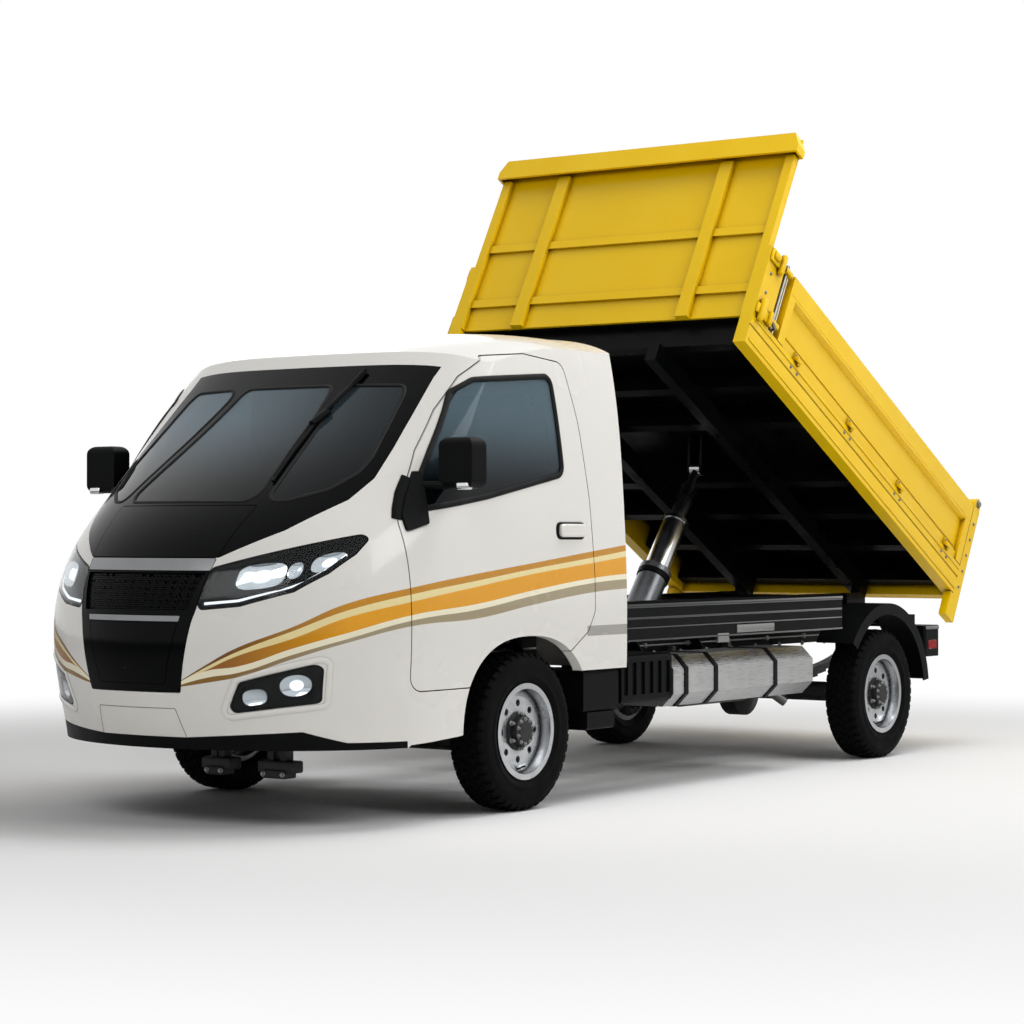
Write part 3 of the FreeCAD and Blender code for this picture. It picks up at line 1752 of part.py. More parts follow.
def bed_rails():
    inner = bed_half_width - bed_rail_width
    outer = bed_half_width
    high = floor_high()
    low = high - bed_rail_height
    groove = low + bed_rail_height * bed_groove_share
    outline = [
        (inner, low),
        (outer, low),
        (outer, groove),
        (outer - bed_groove_depth, groove + bed_groove_height / 2),
        (outer, groove + bed_groove_height),
        (outer, high),
        (inner, high),
    ]
    near = bed_length_prism(outline, -bed_floor_tail, bed_length)
    knuckles = []
    for reach in gate_hinge_places():
        knuckles.append(gate_hinge(reach, -1))
    near = join([near] + knuckles)
    return group([near, mirrored(near)])


def gate_low():
    return floor_high() + bed_gap


def gate_hinge_places():
    start = rear_post_end() + bed_gap
    length = gate_front - start
    inset = length * gate_hinge_inset_share
    step = (length - inset * 2) / (gate_hinge_count - 1)
    return [start + inset + step * index for index in range(gate_hinge_count)]


def rear_post_end():
    return rear_post_length - bed_tail


def gate_hinge(reach, side):
    # One half of a drop side's hinge: the fixed half carries the pin, the moving half its bore
    x = bed_half_width + gate_hinge_reach
    rise = gate_low() + bed_gap
    radius = gate_hinge_radius
    half = gate_hinge_length / 2
    middle = Vector(x, hinge_y - reach, hinge_z() + rise)
    if side < 0:
        barrel = rod(middle, Vector(0, 1, 0), radius, half - loose_gap)
        barrel.translate(Vector(0, loose_gap, 0))
        arm = bed_box(bed_half_width, x, reach - half, reach - loose_gap, rise - radius * 2, rise)
        pin = rod(middle - Vector(0, half, 0), Vector(0, 1, 0), gate_hinge_pin, gate_hinge_length)
        return join([barrel, arm, pin])
    barrel = rod(middle - Vector(0, half, 0), Vector(0, 1, 0), radius, half)
    arm = bed_box(bed_half_width, x, reach, reach + half, rise, rise + radius * 2)
    bore = rod(middle - Vector(0, half + overrun, 0), Vector(0, 1, 0),
               gate_hinge_pin + running_clearance, half + overrun * 2)
    return join([barrel, arm]).cut(bore)


def side_gate():
    inner = bed_half_width - gate_thickness
    outer = bed_half_width
    low = gate_low()
    high = low + gate_height
    flange = high - gate_flange_height
    skin = inner + gate_skin
    foot = outer - gate_foot_inset
    outline = [
        (inner, low),
        (foot, low),
        (foot, low + gate_foot_height),
        (skin, low + gate_foot_height + gate_flange_slope),
        (skin, flange - gate_flange_slope),
        (outer, flange),
        (outer, high),
        (inner, high),
    ]
    start = rear_post_end() + bed_gap
    parts = [bed_length_prism(outline, start, gate_front)]
    for reach in (start, gate_front - gate_end_width):
        parts.append(bed_box(inner, outer, reach, reach + gate_end_width, low, high))
    for reach in gate_hinge_places():
        parts.append(gate_hinge(reach, 1))
        parts.append(bed_box(foot - gate_foot_inset, outer, reach, reach + gate_hinge_length / 2,
                             low, low + gate_foot_height))
    return join(parts)


def headboard():
    half = bed_half_width - headboard_inset
    low = floor_high()
    high = low + headboard_height
    back = bed_front()
    front = bed_length
    skin = bed_box(-half, half, back, back + headboard_skin, low, high)
    parts = [skin]
    edge = headboard_edge_width
    for side in (1, -1):
        x_low, x_high = sorted((side * half, side * (half - edge)))
        parts.append(bed_box(x_low, x_high, back, front, low, high - headboard_cap_height))
        x = side * half * rib_place_share
        parts.append(bed_box(x - rib_width / 2, x + rib_width / 2, back,
                             back + headboard_skin + rib_depth, low,
                             high - headboard_cap_height))
    for share in cross_rib_shares:
        rise = low + headboard_height * share
        parts.append(bed_box(-half, half, back, back + headboard_skin + rib_depth / 2, rise,
                             rise + cross_rib_height))
    cap = headboard_cap_chamfer
    base = high - headboard_cap_height
    parts.append(cap_prism(half + headboard_inset, cap, base, high, back,
                           front + headboard_cap_reach - headboard_skin))
    for side in (1, -1):
        parts.extend(corner_post(side))
    return join(parts)


def cap_prism(half, chamfer, low, high, reach_low, reach_high):
    # The folded cap along the headboard's top, its upper corners cut off
    outline = [
        (-half, low), (half, low), (half, high - chamfer), (half - chamfer / 2, high),
        (chamfer / 2 - half, high), (-half, high - chamfer),
    ]
    whole = bed_length_prism(outline, reach_low, reach_high)
    wall_depth = headboard_skin
    room = bed_box(-half + wall_depth, half - wall_depth, reach_low + wall_depth,
                   reach_high - wall_depth, low - overrun, low + wall_depth * 3)
    return whole.cut(room)


def corner_post(side):
    # The headboard's front corner: a folded post, and a web that runs back to the drop side
    low = floor_high()
    high = low + corner_post_height
    inner, outer = bed_half_width - corner_post_width, bed_half_width
    x_low, x_high = sorted((side * inner, side * outer))
    post = bed_box(x_low, x_high, bed_length - corner_post_depth, bed_length, low, high)
    x_low, x_high = sorted((side * inner, side * (inner + corner_web)))
    web = bed_box(x_low, x_high, gate_front + bed_gap, bed_length - corner_post_depth, low, high)
    return [post, web]


def rear_posts():
    parts = []
    inner = bed_half_width - rear_post_width
    low = floor_high() - rear_post_drop - bed_rail_height
    high = gate_low() + gate_height
    radius = rear_post_rise / 2
    middle = -bed_tail + rear_post_length / 2
    whole = bed_box(inner, bed_half_width, -bed_tail, rear_post_end(), low, high)
    ear = bed_rod(inner, middle, tailgate_pin_high(), radius, rear_post_width)
    neck = bed_box(inner, bed_half_width, middle - radius, middle + radius, high,
                   tailgate_pin_high())
    seat = bed_box(inner, bed_half_width, rear_post_end(), rear_post_end() + overrun / 2,
                   low, low + rear_post_drop - bed_gap)
    shape = join([whole, ear, neck, seat])
    bore = bed_rod(inner - overrun, middle, tailgate_pin_high(),
                   tailgate_pin_radius + running_clearance, rear_post_width + overrun * 2)
    shape = shape.cut(bore).cut(bed_rails())
    return group([shape, mirrored(shape)])


def tailgate_pin_high():
    return gate_low() + gate_height + tailgate_pin_rise


def tailgate():
    half = bed_half_width - rear_post_width - bed_gap
    low = floor_high() - tailgate_drop
    high = gate_low() + gate_height
    back = -bed_tail
    front = back + tailgate_thickness
    panel = bed_box(-half, half, front - tailgate_skin, front, low, high)
    parts = [panel]
    for rise in (low, high - cross_rib_height):
        parts.append(bed_box(-half, half, back, front, rise, rise + cross_rib_height))
    pitch = half * 2 / (tailgate_rib_count + 1)
    places = [-half + rib_width / 2, half - rib_width / 2]
    for index in range(tailgate_rib_count):
        places.append(-half + pitch * (index + 1))
    for x in places:
        parts.append(bed_box(x - rib_width / 2, x + rib_width / 2, back, front, low, high))
    pin_reach = -bed_tail + rear_post_length / 2
    for side in (1, -1):
        x_low, x_high = sorted((side * half, side * (half - tailgate_ear_width)))
        parts.append(bed_rod(x_low, pin_reach, tailgate_pin_high(), tailgate_ear_radius,
                             tailgate_ear_width))
        parts.append(bed_box(x_low, x_high, pin_reach - tailgate_ear_radius,
                             pin_reach + tailgate_ear_radius, high - cross_rib_height,
                             tailgate_pin_high()))
        start = half if side > 0 else -bed_half_width
        parts.append(bed_rod(start, pin_reach, tailgate_pin_high(), tailgate_pin_radius,
                             bed_half_width - half))
    return join(parts)


def build_bed(pieces):
    pieces["bed_floor"] = raised(bed_floor())
    pieces["bed_rails"] = raised(bed_rails())
    pieces["headboard"] = raised(headboard())
    pieces["rear_posts"] = raised(rear_posts())
    gate = side_gate()
    pieces["side_gate_left"] = raised(gate)
    pieces["side_gate_right"] = raised(mirrored(gate))
    pieces["tailgate"] = raised(tailgate())


# Tipping cylinder

def cylinder_ends():
    base = Vector(0, cylinder_base_y, cylinder_base_z)
    eye = Vector(0, hinge_y - cylinder_eye_reach, hinge_z() + cylinder_eye_rise())
    turn = FreeCAD.Rotation(Vector(1, 0, 0), -bed_tilt)
    pivot = Vector(0, hinge_y, hinge_z())
    return base, pivot + turn.multVec(eye - pivot)


def build_cylinder(pieces):
    base, eye = cylinder_ends()
    axis = (eye - base).normalize()
    extension = ((eye - base).Length - cylinder_closed) / 2
    half_eye = cylinder_eye_width / 2

    def post(start, radius, end):
        return rod(base + axis * start, axis, radius, end - start)

    collar = collar_height
    outer = join([
        post(barrel_foot, barrel_radius, barrel_top),
        post(barrel_top - collar, barrel_radius + collar_step, barrel_top),
        post(0, cylinder_neck_radius, barrel_foot),
        across(-half_eye, base.y, base.z, cylinder_eye_radius, cylinder_eye_width),
    ])
    bore = across(-cylinder_eye_width, base.y, base.z, cylinder_pin_radius + running_clearance,
                  cylinder_eye_width * 2)
    room = post(barrel_foot + barrel_floor, stage_radius + running_clearance,
                barrel_top + overrun)
    pieces["cylinder_barrel"] = outer.cut(bore).cut(room)

    start = stage_foot + extension
    end = barrel_top + stage_collar_height + extension
    stage = join([
        post(start, stage_radius, end),
        post(end - stage_collar_height, stage_radius + collar_step, end),
    ])
    room = post(start + barrel_floor, rod_radius + running_clearance, end + overrun)
    pieces["cylinder_stage"] = stage.cut(room)

    start = rod_foot + extension * 2
    end = (eye - base).Length
    shoulder = end - cylinder_eye_radius - rod_neck
    parts = [
        post(start, rod_radius, shoulder),
        post(shoulder, cylinder_neck_radius, end - cylinder_eye_radius / 2),
        across(-half_eye, eye.y, eye.z, cylinder_eye_radius, cylinder_eye_width),
    ]
    pieces["cylinder_rod"] = join(parts)


# Mirrors

def mirror():
    # The housing's outline is rounded both from the front and from the side
    low = mirror_z - mirror_height / 2
    x = mirror_x - mirror_width / 2
    y = mirror_y - mirror_depth / 2
    up = Vector(0, 0, mirror_height)
    start = Vector(x, y, low)
    across_x = Vector(mirror_width, 0, 0)
    across_y = Vector(0, mirror_depth, 0)
    face = rounded_face([start, start + across_x, start + across_x + up, start + up],
                        mirror_radius)
    side = rounded_face([start, start + across_y, start + across_y + up, start + up],
                        mirror_edge_radius)
    housing = face.extrude(across_y).common(side.extrude(across_x))
    high = low + mirror_arm_rise
    start = Vector(mirror_arm_x, mirror_arm_y, high)
    end = Vector(mirror_x, mirror_y, high)
    arm = rod(start, end - start, mirror_arm_radius, (end - start).Length)
    foot = side_block(mirror_foot_shares, mirror_foot_radius, cab_half_width * door_inner_share,
                      cab_half_width)
    foot = foot.common(cab_hull(-mirror_foot_thickness))
    return join([housing, arm, foot]).cut(cab_hull(0))


def build_mirrors(pieces):
    shape = without_slivers(mirror())
    pieces["mirror_left"] = shape
    pieces["mirror_right"] = mirrored(shape)


def main():
    pieces = {}
    build_cab(pieces)
    build_cabin(pieces)
    build_mirrors(pieces)
    build_chassis(pieces)
    build_axles(pieces)
    build_wheels(pieces)
    build_bed(pieces)
    build_cylinder(pieces)
    bounds = [shape.optimalBoundingBox(False, False) for shape in pieces.values()]
    middle = (min(box.YMin for box in bounds) + max(box.YMax for box in bounds)) / 2
    for name, shape in pieces.items():
        shape.translate(Vector(0, -middle, 0))
        shape.exportStep("parts/" + name + ".step")
    print("front axle at y =", -middle)


main()
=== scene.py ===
# %% [markdown]
# # A light dump truck
# The truck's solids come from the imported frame, which has every panel, axle and plate at its true
# place. This notebook dresses them: finishes first, then the small pieces that a solid model leaves
# out, such as tyre tread, lamp bowls, seals, bolts and latches. Everything is in metres, the truck
# drives towards -Y, +X is its left side and the ground is at z = 0.

import math
from types import SimpleNamespace

import bmesh
import bpy
from mathutils import Matrix, Vector
from mathutils.bvhtree import BVHTree


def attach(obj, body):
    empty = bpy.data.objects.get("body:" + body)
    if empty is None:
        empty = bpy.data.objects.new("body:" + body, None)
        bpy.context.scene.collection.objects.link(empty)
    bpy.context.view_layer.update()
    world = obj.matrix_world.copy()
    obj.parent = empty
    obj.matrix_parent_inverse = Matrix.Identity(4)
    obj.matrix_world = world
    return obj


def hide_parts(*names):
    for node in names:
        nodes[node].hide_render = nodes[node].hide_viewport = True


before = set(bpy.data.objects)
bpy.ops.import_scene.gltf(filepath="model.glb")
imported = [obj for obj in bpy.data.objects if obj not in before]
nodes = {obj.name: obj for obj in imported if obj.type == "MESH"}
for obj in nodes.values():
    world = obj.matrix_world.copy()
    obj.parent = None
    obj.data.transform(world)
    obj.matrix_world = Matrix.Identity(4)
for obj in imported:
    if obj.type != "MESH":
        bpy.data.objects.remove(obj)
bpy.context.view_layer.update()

# %% [markdown]
# The camera comes first, because every later choice is judged through it. Its place was solved from
# the photograph: the vertical edges stay upright, so it looks almost level, from the front left.

# %% Camera
camera_place = Vector((7.392, -10.6776, 1.192))
camera_azimuth = math.radians(35.476)
camera_pitch = math.radians(0.478)
camera_lens = 92.2

camera = bpy.data.objects.new("camera", bpy.data.cameras.new("camera"))
bpy.context.scene.collection.objects.link(camera)
camera.data.lens = camera_lens
camera.data.sensor_width = 36
camera.data.clip_end = 100
camera.location = camera_place
camera.rotation_euler = (math.pi / 2 + camera_pitch, 0, camera_azimuth)
bpy.context.scene.camera = camera

# %% [markdown]
# A studio for a white truck: a pale floor that takes the shadow, a sky that is plain white where
# the camera, gloss and glass see it but dim as a light, and large soft lamps above and on both
# sides.
# White paint needs shade to read as a form, so the lamp above and behind it is the strongest.

# %% Node helper
def colour(code):
    """An sRGB hex code as linear red, green, blue and alpha."""
    parts = [int(code[i:i + 2], 16) / 255 for i in (0, 2, 4)]
    linear = [v / 12.92 if v <= 0.04045 else ((v + 0.055) / 1.055) ** 2.4 for v in parts]
    return (*linear, 1)


def add_node(tree, kind, inputs=None, **settings):
    """One node with its settings and links. A node as an input stands for its first output."""
    node = tree.nodes.new(kind)
    for name, value in settings.items():
        setattr(node, name, value)
    for socket, value in (inputs or {}).items():
        target = node.inputs[socket]
        if isinstance(value, bpy.types.Node):
            value = value.outputs[0]
        if isinstance(value, bpy.types.NodeSocket):
            tree.links.new(value, target)
        else:
            target.default_value = value
    return node


def maths(tree, operation, first, second=0.0):
    return add_node(tree, "ShaderNodeMath", {0: first, 1: second}, operation=operation).outputs[0]


def spread(tree, value, low, high, start=0.0, end=1.0, **settings):
    """A value between low and high, moved to the range from start to end."""
    return add_node(tree, "ShaderNodeMapRange", {"Value": value, "From Min": low, "From Max": high,
                                                 "To Min": start, "To Max": end},
                    **settings).outputs["Result"]


def blend(tree, factor, first, second):
    """The mix of two colours."""
    return add_node(tree, "ShaderNodeMix", {"Factor": factor, "A": first, "B": second},
                    data_type="RGBA").outputs["Result"]


def new_material(name):
    """An empty material with its tree, and a function that closes the tree with a shader."""
    material = bpy.data.materials.new(name)
    material.use_nodes = True
    tree = material.node_tree
    tree.nodes.clear()

    def close(shader):
        add_node(tree, "ShaderNodeOutputMaterial", {"Surface": shader})

    return material, tree, close


def put_in_scene(name, data):
    made = bpy.data.objects.new(name, data)
    bpy.context.scene.collection.objects.link(made)
    return made


# %% Studio
def lamp(name, place, target, size, watts):
    light = bpy.data.lights.new(name, "AREA")
    light.shape = "RECTANGLE"
    light.size, light.size_y = size
    light.energy = watts
    made = put_in_scene(name, light)
    made.location = place
    made.rotation_euler = (Vector(target) - Vector(place)).to_track_quat("-Z", "Y").to_euler()


def make_world(ambient, seen):
    world = bpy.data.worlds.new("studio")
    bpy.context.scene.world = world
    world.use_nodes = True
    tree = world.node_tree
    tree.nodes.clear()
    path = add_node(tree, "ShaderNodeLightPath")
    shown = path.outputs["Is Camera Ray"]
    for ray in ("Is Glossy Ray", "Is Transmission Ray"):
        shown = maths(tree, "MAXIMUM", shown, path.outputs[ray])
    strength = spread(tree, shown, 0.0, 1.0, ambient, seen)
    back = add_node(tree, "ShaderNodeBackground", {"Color": colour("FFFFFF"), "Strength": strength})
    add_node(tree, "ShaderNodeOutputWorld", {"Surface": back})


def make_floor(reach, paint_end, backdrop_start):
    mesh = bpy.data.meshes.new("floor")
    corners = [(-reach, -reach, 0), (reach, -reach, 0), (reach, reach, 0), (-reach, reach, 0)]
    mesh.from_pydata([Vector(c) for c in corners], [], [(0, 1, 2, 3)])
    material, tree, close = new_material("studio floor")
    place = add_node(tree, "ShaderNodeTexCoord").outputs["Object"]
    # The floor is plain paint near the truck and turns into the white backdrop further off
    distance = add_node(tree, "ShaderNodeVectorMath", {0: place}, operation="LENGTH")
    far = spread(tree, distance.outputs["Value"], paint_end, backdrop_start,
                 interpolation_type="SMOOTHSTEP")
    paint = add_node(tree, "ShaderNodeBsdfDiffuse", {"Color": colour("F6F6F6")})
    glow = add_node(tree, "ShaderNodeEmission", {"Color": colour("FFFFFF"), "Strength": 1.0})
    path = add_node(tree, "ShaderNodeLightPath")
    seen = maths(tree, "MULTIPLY", path.outputs["Is Camera Ray"], far)
    mix = add_node(tree, "ShaderNodeMixShader", {0: seen, 1: paint, 2: glow})
    close(mix)
    mesh.materials.append(material)
    put_in_scene("floor", mesh)


bpy.context.scene.view_settings.view_transform = "Standard"
make_world(ambient=0.18, seen=1.0)
make_floor(reach=40, paint_end=3.2, backdrop_start=7.5)
truck_middle = (0, 0, 1.2)
lamp("roof light", (2.2, 1.8, 8.0), (0, -0.3, 0), (4, 5), 380)
lamp("side light", (8.0, 0.6, 6.0), truck_middle, (7, 3), 260)
lamp("front light", (2.0, -9.0, 6.0), truck_middle, (6, 3), 190)
lamp("back light", (-6, 6.5, 4.5), truck_middle, (7, 4), 80)

# %% [markdown]
# Every finish starts as a Principled shader with two things that all real surfaces have: a slow
# drift between two close tones, and a fine grain that breaks up the gloss. The sizes are given in
# millimetres of the real material. Special finishes add their own nodes to what this returns.
#
# Shade gathers where two panels meet, and it is painted in: an occlusion node finds those places
# and draws the paint towards a darker tone there as painted shade, within a few millimetres on the
# cab and further on the bed.

# %% Base finish
def shade_gaps(parts, reach_mm, dark):
    """Paints shade into the base colour: a darker tone where two surfaces are near each other."""
    tree, base = parts.tree, parts.shader.inputs["Base Color"]
    near = add_node(tree, "ShaderNodeAmbientOcclusion", {"Distance": reach_mm / 1000}, samples=5)
    level = spread(tree, near.outputs["AO"], 0.3, 0.85)
    tree.links.new(blend(tree, level, colour(dark), base.links[0].from_socket), base)


def finish(name, tones, patch_mm, roughness, grain_mm, grain_depth_mm, gap_shade=None, **sockets):
    """A material with drifting tone and roughness and a fine grain, and its tree's main parts."""
    material, tree, close = new_material(name)
    place = add_node(tree, "ShaderNodeTexCoord").outputs["Object"]
    drift = add_node(tree, "ShaderNodeTexNoise", {"Vector": place, "Scale": 1000 / patch_mm,
                                                  "Detail": 4})
    tone = blend(tree, drift, colour(tones[0]), colour(tones[1]))
    gloss = spread(tree, drift, 0.3, 0.7, *roughness)
    grain = add_node(tree, "ShaderNodeTexNoise", {"Vector": place, "Scale": 1000 / grain_mm,
                                                  "Detail": 2})
    bump = add_node(tree, "ShaderNodeBump", {"Height": grain, "Distance": grain_depth_mm / 1000})
    shader = add_node(tree, "ShaderNodeBsdfPrincipled", {"Base Color": tone, "Roughness": gloss,
                                                         "Normal": bump})
    for socket, value in sockets.items():
        shader.inputs[socket.replace("_", " ")].default_value = value
    close(shader)
    parts = SimpleNamespace(tree=tree, shader=shader, place=place, tone=tone, bump=bump)
    # Where asked, shade is painted into the gaps between surfaces
    if gap_shade:
        shade_gaps(parts, *gap_shade)
    return material, parts


# %% [markdown]
# Pearl white car paint is sprayed: a clear coat that mirrors sharply over a base coat with a faint
# warm shimmer. Orange peel, the slight ripple of sprayed lacquer, is about 6 mm across. The gold
# stripes are vinyl under the same lacquer, so they are colour in this paint. Their edges follow the
# cab's girth: the distance runs back along the flank, and round the nose it grows with x as well.

# %% Striped white paint
front_axle = -1.4476
flank_half = 0.9
# Distance along the girth from the front axle, then the height of six stripe edges there
stripe_table = [
    (-2.180, 0.583, 0.582, 0.580, 0.579, 0.578, 0.577),
    (-1.983, 0.678, 0.668, 0.655, 0.650, 0.622, 0.602),
    (-1.830, 0.740, 0.724, 0.707, 0.666, 0.640, 0.623),
    (-1.520, 0.823, 0.807, 0.777, 0.738, 0.713, 0.696),
    (-1.202, 0.916, 0.888, 0.860, 0.799, 0.775, 0.760),
    (-0.801, 0.977, 0.950, 0.920, 0.866, 0.844, 0.821),
    (-0.385, 1.025, 0.996, 0.971, 0.899, 0.875, 0.839),
    (0.033, 1.067, 1.042, 1.020, 0.950, 0.927, 0.888),
    (0.493, 1.115, 1.087, 1.063, 0.996, 0.974, 0.933),
    (0.751, 1.141, 1.114, 1.088, 1.011, 0.987, 0.945),
]
stripe_low, stripe_high = 0.5, 1.2
# From the flank's plane outwards a point counts as flank, and from the nose's line forwards as nose
flank_from, nose_from = 0.85, -0.8
# Over this span of the girth the gold and taupe stripes change from their nose tones to their door
# tones, listed in pairs below; the darker nose tones are painted shade of the nose
stripe_shade_span = (-1.9, -1.2)
stripe_tones = (("6E4204", "C98A0A"), ("F6E3A4", "F6E3A4"), ("9A5E00", "EBA200"),
                ("FBF3D6", "FBF3D6"), ("8A6210", "A89A7C"))
patch_start, patch_low, patch_high = 0.445, 0.74, 0.785


def stripe_edges(tree, girth):
    """For each edge column of the table, the edge's height as a curve of the girth distance."""
    start, end = stripe_table[0][0], stripe_table[-1][0]
    share = spread(tree, girth, start, end)
    heights = []
    for column in range(1, len(stripe_table[0])):
        node = add_node(tree, "ShaderNodeFloatCurve", {"Value": share})
        curve = node.mapping.curves[0]
        spots = [((row[0] - start) / (end - start),
                  (row[column] - stripe_low) / (stripe_high - stripe_low)) for row in stripe_table]
        curve.points[0].location = spots[0]
        curve.points[1].location = spots[-1]
        for spot in spots[1:-1]:
            curve.points.new(*spot)
        node.mapping.update()
        heights.append(spread(tree, node, 0.0, 1.0, stripe_low, stripe_high))
    return heights


def add_stripes(parts):
    """Paints the flank's stripes and the plain grey patch behind the door over the base colour."""
    tree, tone = parts.tree, parts.tone
    at = add_node(tree, "ShaderNodeSeparateXYZ", {"Vector": parts.place}).outputs
    side, height = maths(tree, "ABSOLUTE", at["X"]), at["Z"]
    along = maths(tree, "SUBTRACT", at["Y"], front_axle)
    girth = maths(tree, "ADD", maths(tree, "SUBTRACT", side, flank_half), along)
    edges = stripe_edges(tree, girth)
    # Only the flank and the nose carry stripes, the cab's back wall does not
    on_side = maths(tree, "GREATER_THAN", side, flank_from)
    allowed = maths(tree, "MAXIMUM", on_side, maths(tree, "LESS_THAN", along, nose_from))
    allowed = maths(tree, "MULTIPLY", allowed,
                    maths(tree, "GREATER_THAN", girth, stripe_table[0][0]))
    # The share of the door tones; the nose's darker stripe tones are painted shade
    light = spread(tree, girth, *stripe_shade_span)
    for (at_nose, at_door), upper, lower in zip(stripe_tones, edges, edges[1:]):
        inside = maths(tree, "MULTIPLY", maths(tree, "LESS_THAN", height, upper),
                       maths(tree, "GREATER_THAN", height, lower))
        tone = blend(tree, maths(tree, "MULTIPLY", inside, allowed), tone,
                     blend(tree, light, colour(at_nose), colour(at_door)))
    patch = on_side
    for operation, value, limit in (("GREATER_THAN", girth, patch_start),
                                    ("LESS_THAN", height, patch_high),
                                    ("GREATER_THAN", height, patch_low)):
        patch = maths(tree, "MULTIPLY", patch, maths(tree, operation, value, limit))
    tree.links.new(blend(tree, patch, tone, colour("A9A79F")), parts.shader.inputs["Base Color"])


white_paint, parts = finish(
    "pearl white car paint", ("EFEDE8", "E6E3DC"), 900, (0.22, 0.30), 6, 0.02,
    Coat_Weight=0.4, Coat_Roughness=0.03, Specular_IOR_Level=0.3)
add_stripes(parts)
# Painted shade in the narrow gaps between the cab's panels
shade_gaps(parts, 12, "3A3835")

# %% [markdown]
# The black of the bonnet and the screen's surround is smooth piano black paint. The blacks keep
# little specular reflection, because a white studio would turn them grey.
# The bed is brushed with yellow enamel, thicker and softer than car paint, with faint runs. The
# chassis has satin black paint that always carries some road dust, so its tone drifts most.

# %% Paints
black_gloss = finish("piano black paint", ("020304", "050608"), 400, (0.08, 0.14), 5, 0.01,
                     Specular_IOR_Level=0.07)[0]
# The bed's enamel gets dark brown painted shade in its gaps and recesses
yellow_paint = finish("yellow bed enamel", ("FFD400", "F7C600"), 260, (0.28, 0.40), 9, 0.06,
                      (55, "5E3A00"), Coat_Weight=0.12, Coat_Roughness=0.14,
                      Specular_IOR_Level=0.3)[0]
frame_paint = finish("satin black chassis paint", ("040506", "0B0C0D"), 120, (0.24, 0.42), 3, 0.05,
                     Specular_IOR_Level=0.07)[0]
ledge_paint = finish("gloss black chassis paint", ("0C0E10", "15181A"), 120, (0.12, 0.2), 3, 0.02,
                     Coat_Weight=0.5, Coat_Roughness=0.05)[0]
# The wheel paint gets painted shade in the disc's recesses
silver_wheel_paint = finish("silver wheel paint", ("D2D4D6", "A4A6A9"), 60, (0.18, 0.30), 2,
                            0.04, (26, "141517"), Metallic=0.85)[0]
cylinder_paint = finish("grey barrel paint", ("5A5C5F", "6C6E71"), 80, (0.25, 0.36), 3, 0.05,
                        Metallic=0.8)[0]
strip_paint = finish("satin silver strip", ("77787A", "8A8B8D"), 200, (0.26, 0.34), 2, 0.01,
                     Metallic=0.85)[0]

# %% [markdown]
# Plastics: the trim, boxes and mudguards are moulded black polypropylene with a grain of about a
# millimetre, drawn here at 3 mm so that it shows. The dashboard is a softer dark grey of the same
# kind. Lamp lenses are clear polycarbonate and the tail lenses red acrylic.

# %% Plastics and glass
black_plastic = finish("moulded black polypropylene", ("060707", "0D0E0F"), 150, (0.36, 0.5), 3,
                       0.12, Specular_IOR_Level=0.06)[0]
cabin_plastic = finish("grained dark trim", ("2A2B2E", "232427"), 200, (0.5, 0.62), 3, 0.15)[0]
seal_rubber = finish("black seal rubber", ("050506", "0A0A0B"), 90, (0.5, 0.65), 2, 0.05,
                     Specular_IOR_Level=0.15)[0]
window_glass, parts = finish("tinted window glass", ("7E97A4", "728C99"), 700, (0.0, 0.02), 400,
                             0.0, Transmission_Weight=0.62, IOR=1.25)
# The colour is the glass's tint and a painted reflection of the sky: darkest along the sill and on
# the truck's left, as in the photograph
tree = parts.tree
at = add_node(tree, "ShaderNodeSeparateXYZ", {"Vector": parts.place}).outputs
height = spread(tree, at["Z"], 1.36, 1.72, interpolation_type="SMOOTHSTEP")
across = spread(tree, at["X"], 0.62, -0.25, 0.12, 1.0, interpolation_type="SMOOTHSTEP")
in_door = maths(tree, "GREATER_THAN", at["X"], 0.8)
# The painted reflection: dark below and on the truck's left, light towards the top
clear = maths(tree, "MULTIPLY", maths(tree, "MAXIMUM", across, in_door), height)
tree.links.new(blend(tree, clear, colour("0C1317"), parts.tone), parts.shader.inputs["Base Color"])
lens_glass = finish("clear polycarbonate lens", ("F4F8FA", "E9EFF2"), 300, (0.0, 0.02), 400, 0.0,
                    Transmission_Weight=1.0, IOR=1.2)[0]
red_lens = finish("red acrylic lens", ("D00A0A", "A80404"), 60, (0.08, 0.14), 4, 0.1,
                  Transmission_Weight=0.4, Coat_Weight=0.6)[0]

# %% [markdown]
# Metals: chrome on trim and on the cylinder's rods is a true mirror, cast axles are rough and dark,
# leaf springs are rolled and scaled, and the exhaust is aluminised sheet. Each keeps the default
# index of refraction, because metallic does the work.

# %% Metals and rubber
chrome = finish("polished chrome", ("DADCDE", "CFD1D4"), 100, (0.05, 0.1), 30, 0.01,
                Metallic=1.0)[0]
rod_chrome = finish("hard chromed rod", ("C9CBCE", "BDBFC2"), 60, (0.12, 0.2), 20, 0.01,
                    Metallic=1.0)[0]
cast_iron = finish("painted cast iron", ("0A0A0B", "151516"), 40, (0.45, 0.65), 4, 0.5,
                   Metallic=0.2)[0]
spring_steel = finish("rolled spring steel", ("17181A", "262729"), 50, (0.42, 0.6), 5, 0.2,
                      Metallic=0.5)[0]
exhaust_steel = finish("aluminised exhaust steel", ("6B6A68", "4D4B48"), 90, (0.35, 0.55), 4, 0.1,
                       Metallic=0.9)[0]
zinc = finish("zinc plated fastener", ("9A9B98", "7E7F7C"), 12, (0.3, 0.45), 1.5, 0.02,
              Metallic=0.9)[0]
tyre_rubber = finish("black tyre rubber", ("060707", "0D0D0D"), 70, (0.6, 0.78), 2.5, 0.15,
                     Specular_IOR_Level=0.05)[0]
mirror_silver = finish("silvered mirror glass", ("E6EAEC", "DDE2E5"), 300, (0.0, 0.02), 200, 0.0,
                       Metallic=1.0)[0]

# %% [markdown]
# The tank's aluminium was brushed lengthwise, so its grain is noise stretched forty times along Y,
# and it darkens the roughness in lines. Seat cloth is woven: two crossed waves, 4 mm apart, raise
# the warp and the weft in turn.

